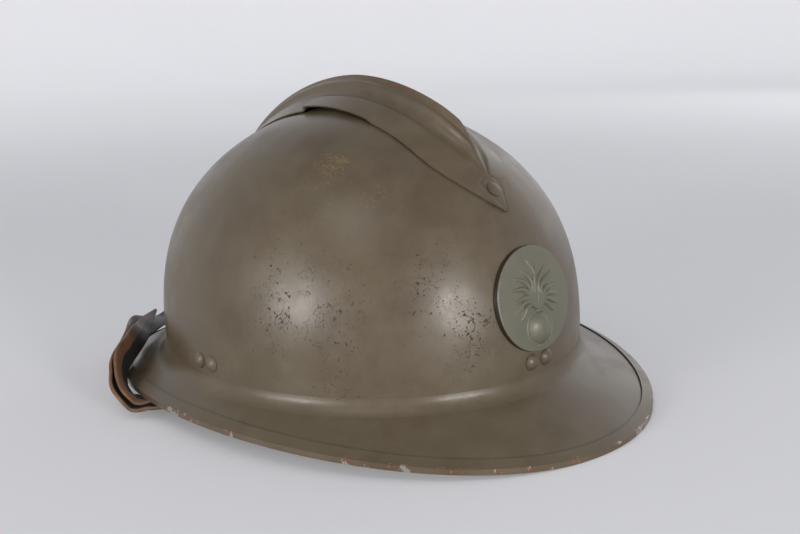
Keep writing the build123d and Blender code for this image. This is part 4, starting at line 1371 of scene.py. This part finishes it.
def strap_piece(name, stations, thickness, darkness, last_travel=None):
    """A leather strap through stations of place, width direction and width share, in millimetres."""
    section = strap_section(1.0, 1.0)
    rounds = len(section)
    obj = flat_cut(name, rounds, len(stations) - 1)
    frames = []
    for index, (place, lean, width) in enumerate(stations):
        before = stations[max(index - 1, 0)][0]
        after = stations[min(index + 1, len(stations) - 1)][0]
        travel = (after - before).normalized()
        if last_travel is not None and index == len(stations) - 1:
            travel = last_travel
        across = (lean - travel * lean.dot(travel)).normalized()
        outward = travel.cross(across).normalized()
        frames.append((place, across, outward, width))
    faces = {}

    def place_point(round_share, along):
        index = round(along * (len(stations) - 1))
        corner = round(round_share * rounds) % rounds
        place, across, outward, width = frames[index]
        full = strap_section(STRAP_WIDTH * width, thickness)
        x, y, side = full[corner]
        faces[(round(round_share * rounds), index)] = darkness(x / STRAP_WIDTH / max(width, 0.1) + 0.5, side)
        return (place + across * x + outward * y) * MM

    last = len(stations) - 1
    spots = [vertex.co for vertex in obj.data.vertices]
    marks = [(round((spot.x + 0.5) * rounds), round((spot.y + 0.5) * last)) for spot in spots]
    bend_cut(obj, place_point)
    # The mask holds where the strap is darkened as painted shade.
    inner = obj.data.attributes.new("painted_shade_mask", "FLOAT", "POINT")
    for mark, value in zip(marks, inner.data):
        value.value = faces[mark]
    edit(obj, merge_doubles, close_ends, face_out)
    shade(obj, 55)
    return obj


def smooth_stations(stations, steps):
    places, leans, widths = ([station[index] for station in stations] for index in range(3))
    rows = []
    for index in range(len(stations) - 1):
        for step in range(steps):
            place = index + step / steps
            rows.append(tuple(smooth(values, place) for values in (places, leans, widths)))
    rows.append((places[-1], leans[-1], widths[-1]))
    return rows


class HELMET_OT_chinstrap(bpy.types.Operator):
    """Models the leather chinstrap stowed round the rear brim"""

    bl_idname = "helmet.chinstrap"
    bl_label = "Chinstrap"

    def execute(self, context):
        leather = context.scene.helmet_leather
        material = leather_material(
            "strap_leather", leather.strap, leather.strap_worn, leather.strap_painted_shade, 620.0, 0.15
        )
        right = smooth_stations(way_stations(), 9)[:-1]
        rear = []
        for step in range(31):
            angle = STRAP_REAR_HALF_ANGLE - 2 * STRAP_REAR_HALF_ANGLE * step / 30
            place, out, lean = rear_station(angle)
            rear.append((place, upright(out, lean), 1.0))
        mirror = Matrix.Diagonal((-1.0, 1.0, 1.0))
        left = [(mirror @ place, mirror @ lean, width) for place, lean, width in reversed(right)]
        run = strap_piece("chinstrap_long", right + rear + left, STRAP_THICKNESS * 0.94, shade_inner_face)
        dress(run, material, "strap_leather", "helmet", "chinstrap_run")
        stations = []
        for row, off_share, up_share, width, lean in STRAP_TAIL:
            place, across, _ = way_at(row)
            travel = (way_at(row + 1 / 3)[0] - place).normalized()
            square = (across - travel * across.dot(travel)).normalized()
            outward = square.cross(travel).normalized()
            angle = radians(lean)
            leaned = square * cos(angle) + outward * sin(angle)
            shift = outward * (off_share * STRAP_WIDTH) + Vector((0.0, 0.0, up_share * STRAP_WIDTH))
            stations.append((place + shift, leaned, width))
        stations = smooth_stations(stations, 7)
        tail = strap_piece("chinstrap_free_end", stations, STRAP_THICKNESS - STRAP_GAP, shade_low_faces)
        dress(tail, material, "strap_leather", "helmet", "chinstrap_tail")
        for side, layers in (("right", 2), ("left", 1)):
            self.strap_end(side, layers, material)
        return {"FINISHED"}

    def strap_end(self, side, layers, material):
        """The strap's loop round the bail's lower bar and the lap that leaves it."""
        radius = dome_radius(-BAIL_EYE_DROP) - BAIL_EYE_INSET
        bar = Vector((-radius, 0.0, CREASE - BAIL_EYE_DROP - BAIL_DROP))
        bore = BAIL_WIRE / 2 + STRAP_GAP / 2
        middle_radius = bore + STRAP_THICKNESS / 2
        first, second = way_stations()[:2]
        travel = (second[0] - first[0]).normalized()
        across = (first[1] - travel * first[1].dot(travel)).normalized()
        side_way = travel.cross(across).normalized()
        pieces = []
        for layer in range(layers):
            shift = layer * (STRAP_THICKNESS + STRAP_GAP)
            end = first[0] + side_way * shift - travel * (3 * STRAP_GAP)
            start = bar + Vector((-bore - LAP_START[0], 0.0, LAP_START[1] - bore - STRAP_THICKNESS / 2))
            bow = Vector(LAP_BOW_SHARES) * STRAP_WIDTH
            lift = Vector((0.0, 0.0, 0.6 * layer))
            rows = [
                (start + Vector((0.0, 0.0, 0.4 * layer)), Vector((0.0, -1.0, 0.0)), 0.98),
                (start + (end - start) * 0.5 + bow + lift, Vector((-0.35, -0.9, 0.0)), 1.0),
                (end, first[1], 1.0),
            ]
            rows = smooth_stations(rows, 10)
            pieces.append(strap_piece(f"lap_{layer}", rows, STRAP_THICKNESS * 0.94, shade_inner_face, travel))
        ring = []
        for step in range(37):
            turn = radians(step * 10)
            place = bar + Vector((cos(turn), 0.0, sin(turn))) * middle_radius
            ring.append((place, Vector((0.0, 1.0, 0.0)), 0.98))
        wrap = strap_piece("wrap", ring, STRAP_THICKNESS * 0.9, shade_inner_face)
        pieces.append(wrap)
        obj = joined(pieces, f"chinstrap_loop_{side}")
        if side == "left":
            for vertex in obj.data.vertices:
                vertex.co.x = -vertex.co.x
            edit(obj, bpy.ops.mesh.flip_normals)
        finish_with(obj, "REMESH", mode="VOXEL", voxel_size=0.3 * MM, use_smooth_shade=True)
        finish_with(obj, "SMOOTH", factor=0.5, iterations=3)
        dress(obj, material, "strap_leather", None, f"chinstrap_end_{side}")
        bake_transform(obj)


# Stage


def lamp(name, place, aim, size, power, tone=(1.0, 1.0, 1.0)):
    data = bpy.data.lights.new(name, "AREA")
    data.shape = "RECTANGLE"
    data.size, data.size_y = size
    data.energy = power
    data.color = tone
    obj = bpy.data.objects.new(name, data)
    obj.location = place
    obj.rotation_euler = (Vector(aim) - Vector(place)).to_track_quat("-Z", "Y").to_euler()
    bpy.context.scene.collection.objects.link(obj)


class HELMET_OT_stage(bpy.types.Operator):
    """Adds the camera, the pale floor with its backdrop, and the lamps"""

    bl_idname = "helmet.stage"
    bl_label = "Stage"

    def execute(self, context):
        settings = context.scene.helmet_stage
        scene = context.scene
        data = bpy.data.cameras.new("photo_camera")
        data.sensor_width = 36.0
        data.lens = CAMERA_LENS
        data.clip_start, data.clip_end = 0.01, 30.0
        camera = bpy.data.objects.new("photo_camera", data)
        azimuth, elevation, roll = (radians(angle) for angle in CAMERA_ANGLES)
        back = Vector(
            (sin(azimuth) * cos(elevation), -cos(azimuth) * cos(elevation), sin(elevation))
        )
        right = (-back).cross(Vector((0.0, 0.0, 1.0))).normalized()
        up = right.cross(-back)
        turned_right = right * cos(roll) + up * sin(roll)
        turned_up = up * cos(roll) - right * sin(roll)
        matrix = Matrix((turned_right, turned_up, back)).transposed().to_4x4()
        matrix.translation = Vector(CAMERA_PLACE) * MM
        camera.matrix_world = matrix
        scene.collection.objects.link(camera)
        scene.camera = camera

        stage = flat_cut("pale_stage", 96, 60)
        profile = [Vector(point) for point in STAGE_PROFILE]

        def place(across, along):
            out, height = smooth(profile, along * (len(profile) - 1) * ALMOST_ONE)
            turn = across * 2 * pi
            return Vector((out * cos(turn), out * sin(turn), max(height, 0.0) - 0.0002))

        bend_cut(stage, place)
        edit(stage, merge_doubles)
        shade(stage)
        material, build, shader, vector = new_material("pale_backdrop")
        tone = build.noise(vector, 3.0, 3.0, 0.5)
        floor = build.mix(build.span(tone, 0.3, 0.7, 0.0, 0.12), settings.floor, dim(settings.floor, 0.92))
        build.put(shader.inputs["Base Color"], floor)
        shader.inputs["Roughness"].default_value = 0.85
        shader.inputs["Specular IOR Level"].default_value = 0.15
        far = build.add("ShaderNodeVectorMath", {0: vector}, operation="LENGTH").outputs["Value"]
        build.put(shader.inputs["Emission Color"], floor)
        seen = build.span(far, 0.35, 1.7, settings.floor_glow, settings.floor_glow * 2.0)
        path = build.add("ShaderNodeLightPath").outputs
        looked_at = build.plus(path["Is Camera Ray"], path["Is Glossy Ray"])
        looked_at = build.plus(looked_at, path["Is Transmission Ray"], clamp=True)
        seen = build.times(seen, looked_at)
        wall = build.span(far, 0.8, 3.4, 0.0, settings.wall)
        build.put(shader.inputs["Emission Strength"], build.plus(seen, wall))
        stage.data.materials.append(material)

        world = bpy.data.worlds.new("studio_fill")
        world.use_nodes = True
        sky = world.node_tree.nodes["Background"]
        sky.inputs["Color"].default_value = (0.93, 0.96, 1.0, 1.0)
        sky.inputs["Strength"].default_value = settings.sky
        scene.world = world
        aim = (0.0, 0.0, 0.06)
        lamp("side_lamp", (-1.55, 0.0, 0.3), aim, (0.55, 0.5), settings.side_power, (1.0, 0.99, 0.98))
        lamp("front_lamp", (-0.25, -1.6, 0.27), aim, (0.32, 0.42), settings.front_power, (1.0, 0.99, 0.98))
        lamp("top_lamp", (-0.9, -0.33, 1.6), aim, (0.8, 0.8), settings.top_power)
        lamp("far_lamp", (1.6, 0.2, 0.7), aim, (1.0, 1.0), settings.far_power)
        scene.view_settings.view_transform = "Standard"
        return {"FINISHED"}


class HELMET_PT_panel(bpy.types.Panel):
    """Lists the helmet's steps in the sidebar"""

    bl_label = "Helmet"
    bl_idname = "HELMET_PT_panel"
    bl_space_type = "VIEW_3D"
    bl_region_type = "UI"
    bl_category = "Helmet"

    def draw(self, context):
        for operator in OPERATORS:
            self.layout.operator(operator.bl_idname)
        for name in SETTINGS:
            box = self.layout.box()
            group = getattr(context.scene, name)
            for key in group.__annotations__:
                box.prop(group, key)


OPERATORS = (
    HELMET_OT_stage,
    HELMET_OT_shell,
    HELMET_OT_comb,
    HELMET_OT_badge,
    HELMET_OT_metal,
    HELMET_OT_felt,
    HELMET_OT_band,
    HELMET_OT_tongues,
    HELMET_OT_drawstring,
    HELMET_OT_chinstrap,
)
SETTINGS = {
    "helmet_paint": PaintSettings,
    "helmet_leather": LeatherSettings,
    "helmet_metal": MetalSettings,
    "helmet_stage": StageSettings,
}


def register():
    for kind in (*SETTINGS.values(), *OPERATORS, HELMET_PT_panel):
        bpy.utils.register_class(kind)
    for name, kind in SETTINGS.items():
        setattr(bpy.types.Scene, name, bpy.props.PointerProperty(type=kind))


def unregister():
    for name in SETTINGS:
        delattr(bpy.types.Scene, name)
    for kind in (HELMET_PT_panel, *reversed(OPERATORS), *SETTINGS.values()):
        bpy.utils.unregister_class(kind)


def main():
    register()
    for operator in OPERATORS:
        getattr(bpy.ops.helmet, operator.bl_idname.split(".")[1])()


if __name__ == "__main__":
    main()
